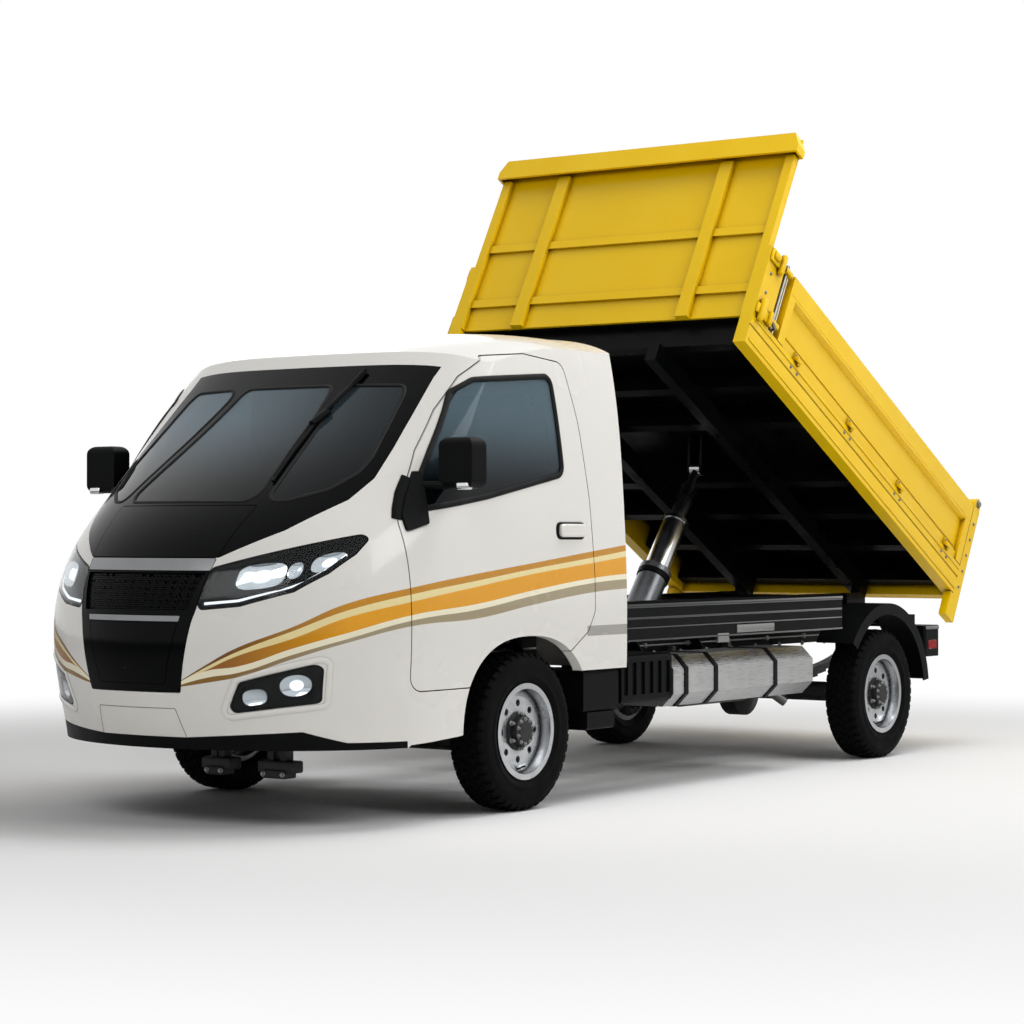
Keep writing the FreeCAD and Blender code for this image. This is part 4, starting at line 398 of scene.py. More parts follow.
# %% Brushed tank and seat cloth
tank_aluminium, parts = finish("brushed aluminium", ("C4C5C4", "B2B3B2"), 180, (0.26, 0.34), 3,
                               0.02, Metallic=1.0)
tree, bump = parts.tree, parts.bump
stretched = add_node(tree, "ShaderNodeMapping", {"Vector": parts.place, "Scale": (1, 0.025, 1)})
brush = add_node(tree, "ShaderNodeTexNoise", {"Vector": stretched, "Scale": 1000 / 2.5,
                                              "Detail": 3})
lines = spread(tree, brush, 0.3, 0.7, 0.2, 0.42)
tree.links.new(lines, parts.shader.inputs["Roughness"])
tree.links.new(brush.outputs["Fac"], bump.inputs["Height"])
bump.inputs["Strength"].default_value = 0.12
# Painted shade where the tank's surfaces come near other surfaces
shade_gaps(parts, 18, "3C3D3C")

seat_cloth, parts = finish("woven seat cloth", ("34363A", "2A2C30"), 60, (0.8, 0.9), 4, 0.6,
                           Sheen_Weight=0.3)
tree = parts.tree
thread_scale = 75
weave = [add_node(tree, "ShaderNodeTexWave", {"Vector": parts.place, "Scale": thread_scale},
                  bands_direction=direction).outputs["Fac"] for direction in ("X", "Z")]
tree.links.new(maths(tree, "MULTIPLY", *weave), parts.bump.inputs["Height"])

# %% [markdown]
# Lamp light is shown as in a studio shot: the lit elements and the light bars glow, but are too
# weak to light anything around them.

# %% Lamp glow
def glow(name, code, strength):
    material, tree, close = new_material(name)
    close(add_node(tree, "ShaderNodeEmission", {"Color": colour(code), "Strength": strength}))
    return material


lamp_glow = glow("lit lamp element", "F4FAFF", 1.6)
bar_glow = glow("lit running light", "F4FAFF", 1.25)

# %% [markdown]
# Every solid gets its finish by name. A node whose shape is right keeps its mesh, and only the
# material is put into its slot.

# %% Finishes of the solids
finishes = {
    white_paint: ["cab_body", "front_fenders", "bumper", "door_left", "door_right"],
    black_gloss: ["hood", "screen_surround", "grille_surround"],
    yellow_paint: ["bed_rails", "headboard", "rear_posts", "side_gate_left", "side_gate_right",
                   "tailgate"],
    frame_paint: ["frame", "subframe", "bed_floor", "side_brackets", "cab_frame"],
    black_plastic: ["side_boxes", "side_skirts", "mudguards", "tail_lamps", "mirror_left",
                    "mirror_right", "grille", "lamp_housings", "bumper_lip"],
    cabin_plastic: ["dashboard"],
    seat_cloth: ["seats"],
    window_glass: ["screen_glass", "door_glass_left", "door_glass_right"],
    lens_glass: ["lamp_lenses"],
    red_lens: ["tail_lenses"],
    strip_paint: ["nose_strip"],
    tank_aluminium: ["side_tank"],
    cast_iron: ["engine", "front_axle", "rear_axle", "knuckle_left", "knuckle_right", "tie_rod",
                "propeller_shaft"],
    spring_steel: ["leaf_springs"],
    exhaust_steel: ["exhaust"],
    cylinder_paint: ["cylinder_barrel"],
    rod_chrome: ["cylinder_stage", "cylinder_rod"],
    silver_wheel_paint: ["rim_front_left", "rim_front_right", "rim_rear_left", "rim_rear_right"],
    tyre_rubber: ["tyre_front_left", "tyre_front_right", "tyre_rear_left", "tyre_rear_right"],
}
for material, names in finishes.items():
    for name in names:
        nodes[name].data.materials.clear()
        nodes[name].data.materials.append(material)
print("finished", sum(len(names) for names in finishes.values()), "of", len(nodes), "nodes")


# %% [markdown]
# The small pieces need a few things over and over: a solid's surface to lie on, a mesh with smooth
# faces and sharp folds, blocks and turned forms, and an object that rides on the right body. A ray
# cast at the solid's faces answers how far out a piece has to sit.

# %% Making pieces
def surface(*names):
    """The faces of some solids as one tree that rays can be cast at."""
    points, faces = [], []
    for name in names:
        start = len(points)
        mesh = nodes[name].data
        points.extend(vertex.co.copy() for vertex in mesh.vertices)
        faces.extend([start + index for index in face.vertices] for face in mesh.polygons)
    return BVHTree.FromPolygons(points, faces)


def meet(target, start, direction):
    """Where a ray meets a surface, and which way the surface faces there."""
    place, normal = target.ray_cast(Vector(start), Vector(direction))[:2]
    return place, normal


def smoothed(mesh, sharp=35):
    """The mesh, shaded smooth up to a fold of the given degrees."""
    mesh.shade_smooth()
    mesh.set_sharp_from_angle(angle=math.radians(sharp))
    return mesh


def as_mesh(name, shape):
    mesh = bpy.data.meshes.new(name)
    shape.to_mesh(mesh)
    shape.free()
    return mesh


def finished(name, shape, sharp=35):
    """A bmesh as a smooth mesh whose faces point outwards."""
    bmesh.ops.recalc_face_normals(shape, faces=shape.faces)
    return smoothed(as_mesh(name, shape), sharp)


def add_piece(name, mesh, material, body, replaced=()):
    """An object that rides on a body with the given finish in its slot, hiding the solids it
    replaces.
    """
    mesh.materials.clear()
    mesh.materials.append(material)
    piece = put_in_scene(name, mesh)
    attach(piece, body)
    if replaced:
        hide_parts(*replaced)
    return piece


def together(name, meshes):
    """Several meshes as one mesh."""
    shape = bmesh.new()
    for mesh in meshes:
        shape.from_mesh(mesh)
    return smoothed(as_mesh(name, shape))


def flipped(mesh):
    """The same mesh on the truck's other side."""
    other = mesh.copy()
    other.transform(Matrix.Scale(-1, 4, (1, 0, 0)))
    other.flip_normals()
    return other


def both(mesh):
    """The mesh on both sides of the truck."""
    return together(mesh.name, [mesh, flipped(mesh)])


def add_pair(name, mesh, material, body):
    """A piece on a left body and its like on the right one."""
    add_piece(name + "left", mesh, material, body + "left")
    add_piece(name + "right", flipped(mesh), material, body + "right")


def add_block(shape, low, high, edge, turn=None, segments=2):
    """A block with rounded edges, turned about its middle where asked."""
    low, high = Vector(low), Vector(high)
    middle, size = (low + high) / 2, high - low
    made = bmesh.ops.create_cube(shape, size=1)["verts"]
    for vertex in made:
        vertex.co = Vector((vertex.co.x * size.x, vertex.co.y * size.y, vertex.co.z * size.z))
    edges = list({link for vertex in made for link in vertex.link_edges})
    made = bmesh.ops.bevel(shape, geom=edges, offset=edge, segments=segments, profile=0.5,
                           affect="EDGES")["verts"] if edge else made
    for vertex in set(made):
        if turn:
            vertex.co = turn @ vertex.co
        vertex.co = vertex.co + middle


def add_ring(shape, radius, level, sides, on_wheel=False):
    """A ring of vertices about the Z axis or, for what sits on a wheel, about the X axis."""
    ring = []
    for step in range(sides):
        angle = 2 * math.pi * step / sides
        flat = (radius * math.cos(angle), radius * math.sin(angle))
        ring.append(shape.verts.new((level, *flat) if on_wheel else (*flat, level)))
    return ring


def bridge(shape, rings, hoop=False):
    """Faces between rings of vertices, closed over the ends or, in a hoop, end to end."""
    for first, second in zip(rings, rings[1:] + rings[:1] if hoop else rings[1:]):
        for i in range(len(first)):
            j = (i + 1) % len(first)
            shape.faces.new((first[i], first[j], second[j], second[i]))
    if not hoop:
        shape.faces.new(rings[0])
        shape.faces.new(list(reversed(rings[-1])))


def add_turned(shape, profile, centre, segments=48, side=1, closed=False):
    """A profile of places along the wheel's axis and radii, turned about that axis."""
    rings = []
    for along, radius in profile:
        count = segments if radius > 1e-5 else 1
        ring = []
        for step in range(count):
            angle = 2 * math.pi * step / count
            ring.append(shape.verts.new((centre[0] + side * along,
                                         centre[1] + radius * math.cos(angle),
                                         centre[2] + radius * math.sin(angle))))
        rings.append(ring)
    pairs = list(zip(rings, rings[1:]))
    if closed:
        pairs.append((rings[-1], rings[0]))
    for first, second in pairs:
        for step in range(segments):
            after = (step + 1) % segments
            corners = [first[step % len(first)], first[after % len(first)],
                       second[after % len(second)], second[step % len(second)]]
            unique = list(dict.fromkeys(corners))
            if len(unique) > 2:
                shape.faces.new(unique)


# %% [markdown]
# Four node trees make everything that repeats or runs along something. The first repeats a piece
# around the wheel's axis: tread and nuts. The second lays a strip on a solid: a flat outline is
# rounded, thrown at the surface with the Raycast node, and given a thickness. The third is a plain
# tube along a path, for rods, pipes and valves. The fourth sets a piece on each of many points,
# turned to face out of the surface, for bolts and for the grille's scales.

# %% Node tree helpers
def new_tree(name, inputs):
    tree = bpy.data.node_groups.new(name, "GeometryNodeTree")
    tree.interface.new_socket("Geometry", in_out="INPUT", socket_type="NodeSocketGeometry")
    for title, kind in inputs:
        tree.interface.new_socket(title, in_out="INPUT", socket_type="NodeSocket" + kind)
    tree.interface.new_socket("Geometry", in_out="OUTPUT", socket_type="NodeSocketGeometry")
    return tree, tree.nodes.new("NodeGroupInput").outputs


def close_tree(tree, geometry):
    real = add_node(tree, "GeometryNodeRealizeInstances", {"Geometry": geometry})
    add_node(tree, "NodeGroupOutput", {0: real})


def evaluated(carrier):
    """The mesh that an object's modifiers make."""
    graph = bpy.context.evaluated_depsgraph_get()
    return bpy.data.meshes.new_from_object(carrier.evaluated_get(graph))


def grow(tree, mesh, **values):
    """The plain mesh that a tree makes from another mesh."""
    carrier = put_in_scene("carrier", mesh)
    modifier = carrier.modifiers.new(tree.name, "NODES")
    modifier.node_group = tree
    for item in tree.interface.items_tree:
        if item.in_out == "INPUT" and item.name in values:
            modifier[item.identifier] = values[item.name]
    bpy.context.view_layer.update()
    made = evaluated(carrier)
    bpy.data.objects.remove(carrier)
    return smoothed(made)


def wire(points, closed):
    """A mesh of bare edges through some points, for a tree to follow."""
    mesh = bpy.data.meshes.new("wire")
    count = len(points)
    edges = [(i, (i + 1) % count) for i in range(count if closed else count - 1)]
    mesh.from_pydata([tuple(p) for p in points], edges, [])
    return mesh


# %% Repeat tree
repeat, given = new_tree("repeat", [("Count", "Int"), ("Start", "Vector"), ("Centre", "Vector"),
                                    ("Turn", "Float")])
index = add_node(repeat, "GeometryNodeInputIndex")
angle = maths(repeat, "MULTIPLY", index, given["Turn"])
place = add_node(repeat, "ShaderNodeVectorRotate", {"Vector": given["Start"],
                                                    "Center": given["Centre"],
                                                    "Angle": angle}, rotation_type="X_AXIS")
points = add_node(repeat, "GeometryNodePoints", {"Count": given["Count"], "Position": place})
turn = add_node(repeat, "ShaderNodeCombineXYZ", {"X": angle})
copies = add_node(repeat, "GeometryNodeInstanceOnPoints", {"Points": points,
                                                           "Instance": given["Geometry"],
                                                           "Rotation": turn})
close_tree(repeat, copies)

# %% Strip tree
strip, given = new_tree("strip on a surface", [
    ("Target", "Object"), ("Direction", "Vector"), ("Corner", "Float"), ("Spacing", "Float"),
    ("Width", "Float"), ("Height", "Float"), ("Lift", "Float")])
path = add_node(strip, "GeometryNodeMeshToCurve", {"Mesh": given["Geometry"]})
soft = add_node(strip, "GeometryNodeFilletCurve", {"Curve": path, "Count": 6,
                                                   "Radius": given["Corner"],
                                                   "Limit Radius": True}, mode="POLY")
even = add_node(strip, "GeometryNodeResampleCurve", {"Curve": soft,
                                                     "Length": given["Spacing"]}, mode="LENGTH")
target = add_node(strip, "GeometryNodeObjectInfo", {"Object": given["Target"]})
hit = add_node(strip, "GeometryNodeRaycast", {"Target Geometry": target.outputs["Geometry"],
                                              "Ray Direction": given["Direction"],
                                              "Ray Length": 8.0})
kept = strip.nodes.new("GeometryNodeCaptureAttribute")
kept.capture_items.new("VECTOR", "facing")
strip.links.new(even.outputs[0], kept.inputs[0])
strip.links.new(hit.outputs["Hit Normal"], kept.inputs[1])
lift = add_node(strip, "ShaderNodeVectorMath", {0: hit.outputs["Hit Normal"],
                                                "Scale": given["Lift"]}, operation="SCALE")
lifted = add_node(strip, "ShaderNodeVectorMath", {0: hit.outputs["Hit Position"], 1: lift})
# Points whose ray meets nothing go before the rest move, because the test is made where they are
missed = add_node(strip, "FunctionNodeBooleanMath", {0: hit.outputs["Is Hit"]}, operation="NOT")
found = add_node(strip, "GeometryNodeDeleteGeometry", {"Geometry": kept, "Selection": missed})
laid = add_node(strip, "GeometryNodeSetPosition", {"Geometry": found, "Position": lifted})
facing = add_node(strip, "GeometryNodeSetCurveNormal", {"Curve": laid,
                                                        "Normal": kept.outputs[1]}, mode="FREE")
ring = add_node(strip, "GeometryNodeCurvePrimitiveCircle", {"Resolution": 10, "Radius": 0.5})
scale = add_node(strip, "ShaderNodeCombineXYZ", {"X": given["Height"], "Y": given["Width"],
                                                 "Z": 1.0})
section = add_node(strip, "GeometryNodeTransform", {"Geometry": ring, "Scale": scale})
tube = add_node(strip, "GeometryNodeCurveToMesh", {"Curve": facing,
                                                   "Profile Curve": section,
                                                   "Fill Caps": True})
close_tree(strip, tube)

# %% Tube tree
pipe, given = new_tree("tube along a path", [("Corner", "Float"), ("Radius", "Float"),
                                             ("Sides", "Int")])
path = add_node(pipe, "GeometryNodeMeshToCurve", {"Mesh": given["Geometry"]})
soft = add_node(pipe, "GeometryNodeFilletCurve", {"Curve": path, "Count": 7,
                                                  "Radius": given["Corner"],
                                                  "Limit Radius": True}, mode="POLY")
ring = add_node(pipe, "GeometryNodeCurvePrimitiveCircle", {"Resolution": given["Sides"],
                                                           "Radius": given["Radius"]})
tube = add_node(pipe, "GeometryNodeCurveToMesh", {"Curve": soft,
                                                  "Profile Curve": ring,
                                                  "Fill Caps": True})
close_tree(pipe, tube)

# %% Stud tree
studs, given = new_tree("pieces on points", [("Piece", "Object"), ("Swing", "Float"),
                                             ("Seed", "Int")])
out = add_node(studs, "GeometryNodeInputNamedAttribute", {"Name": "facing"},
               data_type="FLOAT_VECTOR")
upright = add_node(studs, "FunctionNodeAlignRotationToVector", {"Vector": out}, axis="Z")
least = maths(studs, "MULTIPLY", given["Swing"], -1.0)
swing = add_node(studs, "FunctionNodeRandomValue", {"Min": least,
                                                    "Max": given["Swing"],
                                                    "Seed": given["Seed"]}, data_type="FLOAT")
spin = add_node(studs, "ShaderNodeCombineXYZ", {"Z": swing.outputs["Value"]})
turned = add_node(studs, "FunctionNodeRotateRotation", {"Rotation": upright,
                                                        "Rotate By": spin},
                  rotation_space="LOCAL")
model = add_node(studs, "GeometryNodeObjectInfo", {"Object": given["Piece"]})
copies = add_node(studs, "GeometryNodeInstanceOnPoints", {"Points": given["Geometry"],
                                                          "Instance": model.outputs["Geometry"],
                                                          "Rotation": turned})
close_tree(studs, copies)


def on_points(places, model, swing=0.0, seed=3):
    """A model mesh on each place, its Z axis along the normal that comes with the place."""
    points = bpy.data.meshes.new("points")
    points.from_pydata([tuple(place) for place, normal in places], [], [])
    facing = points.attributes.new("facing", "FLOAT_VECTOR", "POINT")
    for item, (place, normal) in zip(facing.data, places):
        item.vector = normal
    carrier = put_in_scene("model", model)
    made = grow(studs, points, Piece=carrier, Swing=swing, Seed=seed)
    bpy.data.objects.remove(carrier)
    return made


def add_tiers(tiers, bevel, top, on_wheel=False):
    """Stacked prisms: each has its sides, its lower and upper end, its reach and a bevelled rim."""
    shape = bmesh.new()
    for sides, low, high, reach in tiers:
        bridge(shape, [add_ring(shape, reach * size, level, sides, on_wheel)
                       for level, size in ((low, 1), (high - bevel, 1), (high, top))])
    return finished("bolt", shape)


def hex_bolt(radius, height):
    """A bolt head on its washer, standing on z = 0."""
    return add_tiers(((14, -height * 0.3, height * 0.22, radius * 1.45),
                      (6, height * 0.2, height, radius)), height * 0.12, 0.86)


print("node trees", [tree.name for tree in (repeat, strip, pipe, studs)])

# %% [markdown]
# A light truck tyre is a smooth carcass with blocks of tread moulded on. The carcass is a profile
# turned about the wheel's axis, with the raised line that guards the sidewall. One pitch of tread
# is modelled, a middle block, two inner blocks and two shoulder lugs, and the repeat tree sets it
# around the wheel 44 times. That is how a real mould is cut as well.

# %% Tyres
tyre_radius = 0.342
wheel_base, wheel_reach = 3.3, 0.805
# The blocks are flat, so the tread sits lower by as much as their ends would leave the circle
tread_sink = 0.0018
carcass = [(0.0755, 0.2), (0.0755, 0.2095), (0.086, 0.2215), (0.0905, 0.236), (0.0932, 0.240),
           (0.0932, 0.246), (0.0915, 0.2495), (0.0942, 0.268), (0.0945, 0.284), (0.0938, 0.289),
           (0.0945, 0.293), (0.0928, 0.299), (0.0895, 0.311), (0.083, 0.3225), (0.074, 0.3295),
           (0.05, 0.3325), (0.02, 0.3335)]
carcass = carcass + [(-along, radius) for along, radius in reversed(carcass)]
pitch_count = 44


def tread_pitch():
    """One pitch of tread, with its outer face at z = 0: middle block, inner blocks, two lugs."""
    shape = bmesh.new()
    length = 2 * math.pi * tyre_radius / pitch_count
    for along, wide, share, skew, shift, deep in ((0, 0.021, 0.78, 14, 0, 0.010),
                                                  (-0.029, 0.025, 0.72, -24, 0.35, 0.0105),
                                                  (0.029, 0.025, 0.72, -24, -0.35, 0.0105)):
        turn = Matrix.Rotation(math.radians(skew), 3, "Z")
        half = length * share / 2
        add_block(shape, (along - wide / 2, length * shift - half, -deep),
                  (along + wide / 2, length * shift + half, 0), 0.0012, turn, segments=1)
    for side in (1, -1):
        # The shoulder lug leans outwards and down over the carcass's edge
        low, high, mid = side * 0.045, side * 0.0865, side * 0.074
        half = length * 0.31
        corners = []
        for reach, depth in ((low, -0.0005), (mid, -0.0022), (high, -0.0165), (high, -0.0305),
                             (low, -0.012)):
            corners.append([shape.verts.new((reach, y * half, depth)) for y in (-1, 1)])
        for first, second in zip(corners, corners[1:] + corners[:1]):
            shape.faces.new((first[0], first[1], second[1], second[0]))
        shape.faces.new([pair[0] for pair in corners])
        shape.faces.new([pair[1] for pair in reversed(corners)])
    return finished("tread pitch", shape, 30)


wheels = {}
for end, y in (("front", front_axle), ("rear", front_axle + wheel_base)):
    for name, side in (("left", 1), ("right", -1)):
        wheels[end + "_" + name] = (side, Vector((side * wheel_reach, y, tyre_radius)))
pitch = tread_pitch()
for name, (side, centre) in wheels.items():
    shape = bmesh.new()
    add_turned(shape, carcass, centre, 72, side, closed=True)
    blocks = grow(repeat, pitch, Count=pitch_count, Turn=2 * math.pi / pitch_count,
                  Start=centre + Vector((0, 0, tyre_radius - tread_sink)), Centre=centre)
    tyre = together("tyre", [finished("carcass", shape), blocks])
    add_piece("tyre_with_tread_" + name, tyre, tyre_rubber, "wheel_" + name,
              replaced=["tyre_" + name])
print("tyre triangles", sum(len(face.vertices) - 2 for face in tyre.polygons))

# %% [markdown]
# The rims are solids from the frame. Each gets the hub that the wheel bolts to: a dark flange with
# six nuts on their studs, a cap with its own ring of small screws, and a valve through the disc.

# %% Hubs
hub_profile = [(0.040, 0.0), (0.040, 0.0815), (0.047, 0.083), (0.0505, 0.0805), (0.0515, 0.0665),
               (0.0765, 0.0645), (0.0795, 0.0605), (0.0795, 0.0475), (0.0835, 0.0445),
               (0.0845, 0.0305), (0.0845, 0.0)]
# Washer, nut and the stud's end
nut = add_tiers(((16, 0, 0.004, 0.0115), (6, 0.0035, 0.0155, 0.0095), (10, 0.015, 0.0215, 0.0052)),
                0.0012, 0.85, on_wheel=True)
for name, (side, centre) in wheels.items():
    shape = bmesh.new()
    add_turned(shape, hub_profile, centre, 48, side)
    add_piece("hub_" + name, finished("hub", shape), cast_iron, "wheel_" + name)
    model = nut if side > 0 else flipped(nut)
    rings = []
    for count, radius, reach in ((6, 0.0735, 0.0495), (10, 0.0535, 0.066)):
        rings.append(grow(repeat, model, Count=count, Turn=2 * math.pi / count,
                          Start=centre + Vector((side * reach, 0, radius)), Centre=centre))
    add_piece("wheel_nuts_" + name, together("nuts", rings), zinc, "wheel_" + name)
    stem = wire([centre + Vector((side * out, 0, -radius))
                 for out, radius in ((0.038, 0.165), (0.066, 0.152), (0.080, 0.150))], False)
    add_piece("valve_" + name, grow(pipe, stem, Corner=0.006, Radius=0.0042, Sides=12),
              seal_rubber, "wheel_" + name)

# %% [markdown]
# Three more shapes are needed for trim. An outline can be grown or shrunk by a distance, a plate is
# an outline with a thickness and a softened front edge, and a dish is a set of nested rings thrown
# at a lens, so that a lamp's bowl follows the cover in front of it.

# %% Outlines, plates and dishes
def offset(outline, distance):
    """A closed outline of two coordinates, moved inwards by a distance."""
    count = len(outline)
    turn = sum(a[0] * b[1] - b[0] * a[1] for a, b in zip(outline, outline[1:] + outline[:1]))
    sign = 1 if turn > 0 else -1
    moved = []
    for i in range(count):
        before, here, after = (Vector(outline[(i + k) % count]) for k in (-1, 0, 1))
        first, second = (here - before).normalized(), (after - here).normalized()
        normals = [Vector((-d.y, d.x)) * sign for d in (first, second)]
        miter = (normals[0] + normals[1]).normalized()
        moved.append(here + miter * (distance / max(miter.dot(normals[0]), 0.4)))
    return [tuple(point) for point in moved]


def rounded(outline, radius, steps=5):
    """A closed outline with its corners replaced by arcs."""
    made = []
    count = len(outline)
    for i in range(count):
        before, here, after = (Vector(outline[(i + k) % count]) for k in (-1, 0, 1))
        back, ahead = (before - here), (after - here)
        reach = min(radius, back.length * 0.45, ahead.length * 0.45)
        start, end = here + back.normalized() * reach, here + ahead.normalized() * reach
        for step in range(steps + 1):
            t = step / steps
            made.append(tuple((1 - t) ** 2 * start + 2 * t * (1 - t) * here + t ** 2 * end))
    return made


def add_plate(shape, outline, back, front, edge, place):
    """A plate between two depths. The function place turns u, v and depth into a point."""
    step = edge if front > back else -edge
    levels = ((outline, back), (outline, front - step), (offset(outline, edge), front))
    rings = [[shape.verts.new(place(u, v, depth)) for u, v in ring] for ring, depth in levels]
    bridge(shape, rings)


def on_flank(u, v, depth):
    return Vector((depth, u, v))


def on_nose(u, v, depth):
    return Vector((u, depth, v))


# Rays start ahead of the nose, beside the flank or behind the cab, and run at the truck
nose_start = -4
views = {"nose": (on_nose, nose_start, (0, 1, 0)), "flank": (on_flank, 3, (-1, 0, 0)),
         "back": (on_nose, 3, (0, -1, 0))}


def add_dish(shape, lens, centre, half, slant, power, depths, thickness=0.002):
    """A bowl behind a lens: rings from the rim inwards, each at its own depth behind the lens."""
    def lens_place(x, z, depth):
        # A point beside the lens moves in towards the bowl's centre until it meets the lens
        for share in (1, 0.92, 0.84, 0.76, 0.6, 0.4, 0):
            hit = meet(lens, (centre[0] + (x - centre[0]) * share, nose_start,
                              centre[1] + (z - centre[1]) * share), (0, 1, 0))[0]
            if hit:
                return hit + Vector((0, depth, 0))
        raise ValueError("no lens in front of the bowl at %s" % (centre,))

    segments = 36
    layers = []
    for extra in (0, thickness):
        rings = []
        for size, depth in depths:
            ring = []
            for step in range(segments):
                angle = 2 * math.pi * step / segments
                c, s = math.cos(angle), math.sin(angle)
                x = centre[0] + half[0] * size * math.copysign(abs(c) ** (2 / power), c)
                z = centre[1] + half[1] * size * math.copysign(abs(s) ** (2 / power), s)
                z = z + slant * (x - centre[0])
                ring.append(shape.verts.new(lens_place(x, z, depth + extra)))
            rings.append(ring)
        layers.append(rings)
    bridge(shape, list(reversed(layers[0])) + layers[1])


spare_panels = []


def panel_object(name, *names):
    """A throw-away object of some solids' faces, for the strip tree to lie on."""
    made = put_in_scene(name, together(name, [nodes[n].data for n in names]))
    spare_panels.append(made)
    return made


def lay(target, outline, closed, view, corner, width, height, lift, spacing=0.014):
    """A strip on a solid, along an outline that is drawn as seen from one of the views."""
    place, start, direction = views[view]
    points = [place(u, v, start) for u, v in outline]
    return grow(strip, wire(points, closed), Target=target, Direction=direction, Corner=corner,
                Spacing=spacing, Width=width, Height=height, Lift=lift)


# %% [markdown]
# Each headlamp holds a large and a small reflector bowl, a dim bowl between them and a light bar
# along its lower edge, and each fog lamp a lit and a dim bowl. The bowls are chrome with a lit
# element in the middle. Bowls, bars and black borders are thrown at the curved lens from the front,
# so they stay the same depth behind it.

# %% Lamps
lens = surface("lamp_lenses")
lens_panel = panel_object("lens panel", "lamp_lenses")
bowl = ((1.0, 0.010), (0.94, 0.012), (0.72, 0.019), (0.42, 0.025), (0.16, 0.027))
dim_bowl = ((1.0, 0.012), (0.8, 0.018), (0.4, 0.025), (0.15, 0.026))
element = ((1.0, 0.017), (0.7, 0.015), (0.3, 0.014))
pods = [
    # centre, half size, slant, power, depths, whether it is lit
    ((0.525, 1.023), (0.0815, 0.050), 0.12, 3.2, bowl, True),
    ((0.720, 1.078), (0.044, 0.036), 0.30, 2.6, bowl, True),
    ((0.632, 1.045), (0.022, 0.032), 0.15, 2.4, dim_bowl, False),
    ((0.655, 0.590), (0.047, 0.042), 0.15, 2.2, bowl, True),
    ((0.520, 0.543), (0.042, 0.032), 0.15, 2.6, dim_bowl, False),
]
bowls, lights = bmesh.new(), bmesh.new()
for centre, half, slant, power, depths, lit in pods:
    add_dish(bowls, lens, centre, half, slant, power, depths)
    if lit:
        add_dish(lights, lens, centre, (half[0] * 0.42, half[1] * 0.46), slant, 2.2, element)
bars = [lay(lens_panel, line, False, "nose", 0.05, width, 0.004, -0.011)
        for width, line in ((0.018, [(0.342, 0.913), (0.47, 0.925), (0.60, 0.963)]),
                            (0.009, [(0.598, 0.963), (0.674, 1.001), (0.730, 1.054)]))]
headlamp = [(0.3168, 0.8889), (0.3386, 1.0550), (0.7798, 1.1900), (0.8001, 1.1700),
            (0.7853, 1.1099), (0.7354, 1.0350), (0.6503, 0.9622), (0.4801, 0.9052)]
fog_lamp = [(0.4209, 0.4769), (0.4801, 0.6014), (0.7446, 0.6794), (0.7243, 0.5212)]
borders = [lay(lens_panel, offset(outline, 0.010), True, "nose", 0.014, 0.017, 0.003, -0.0075)
           for outline in (headlamp, fog_lamp)]
for name, mesh, material in (("lamp_bowls", finished("bowls", bowls), chrome),
                             ("lamp_elements", finished("elements", lights), lamp_glow),
                             ("light_bars", together("bars", bars), bar_glow),
                             ("lens_borders", together("borders", borders), black_plastic)):
    add_piece(name, both(mesh), material, "chassis")
front_panel = panel_object("front panel", "front_fenders", "bumper", "cab_body")
bezel = lay(front_panel, offset(fog_lamp, -0.017), True, "nose", 0.024, 0.024, 0.013, 0.0, 0.01)
add_piece("fog_lamp_bezels", both(bezel), white_paint, "chassis")

# %% [markdown]
# Rubber seals run around every window. Their section is a flattened ring that laps over the edge of
# the glass and over the panel, as the real profile does. The door's seals ride on the doors.

# %% Window seals
door_window = [(-2.2216, 1.2913), (-2.0379, 1.5403), (-1.8474, 1.7851), (-1.7499, 1.8389),
               (-1.2260, 1.8771), (-1.1919, 1.4580), (-1.7635, 1.3546)]
door_panel = panel_object("door panel", "door_left")
seal = lay(door_panel, offset(door_window, -0.006), True, "flank", 0.045, 0.026, 0.012, 0.001,
           spacing=0.012)
add_pair("door_seal_", seal, seal_rubber, "door_")
screen_panel = panel_object("screen panel", "screen_surround", "cab_body")
screen = [(-0.345, 1.3293), (-0.2424, 1.8220), (0.2424, 1.8220), (0.345, 1.3293)]
quarter = [(0.4015, 1.3293), (0.4810, 1.3335), (0.5929, 1.3757), (0.6475, 1.4432),
           (0.6549, 1.5044), (0.6059, 1.7724), (0.5828, 1.8167), (0.3016, 1.8220)]
seals = [lay(screen_panel, offset(outline, -0.005), True, "nose", 0.045, 0.017, 0.008, 0.0, 0.012)
         for outline in (screen, quarter)]
back_panel = panel_object("back panel", "cab_body")
rear_window = [(-0.5365, 1.3715), (-0.518, 1.7935), (0.518, 1.7935), (0.5365, 1.3715)]
seals.append(lay(back_panel, offset(rear_window, -0.006), True, "back", 0.045, 0.026, 0.012, 0.0))
seals.append(flipped(seals[1]))
add_piece("window_seals", together("seals", seals), seal_rubber, "chassis")

# %% [markdown]
# The grille in the photograph is not a set of bars but a field of small, uneven black scales. They
# are one rounded scale set on a staggered lattice and swung a little at random by the stud tree,
# over a backing sheet that closes the holes. Below it, the round badge place stays without a mark:
# a plain ring around a plain dome, both let into the panel.

# %% Grille and badge place
grille_tree = surface("grille")
# The field of scales: its height, and its half width at the bottom and at the top
field_low, field_rise, field_narrow, field_wide = 0.884, 0.153, 0.2807, 0.3238


def grille_place(x, z):
    """The face of the grille's bars near a point. A bar beside it counts, less the face's slope."""
    shifts = (0, 0.006, -0.006, 0.012, -0.012)
    for dz in shifts:
        for dx in shifts:
            place, normal = meet(grille_tree, (x + dx, nose_start, z + dz), (0, 1, 0))
            if place and abs(normal.y) > 0.8:
                return Vector((x, place.y - 0.15 * dx * x / 0.3, z)), normal
    return None, None


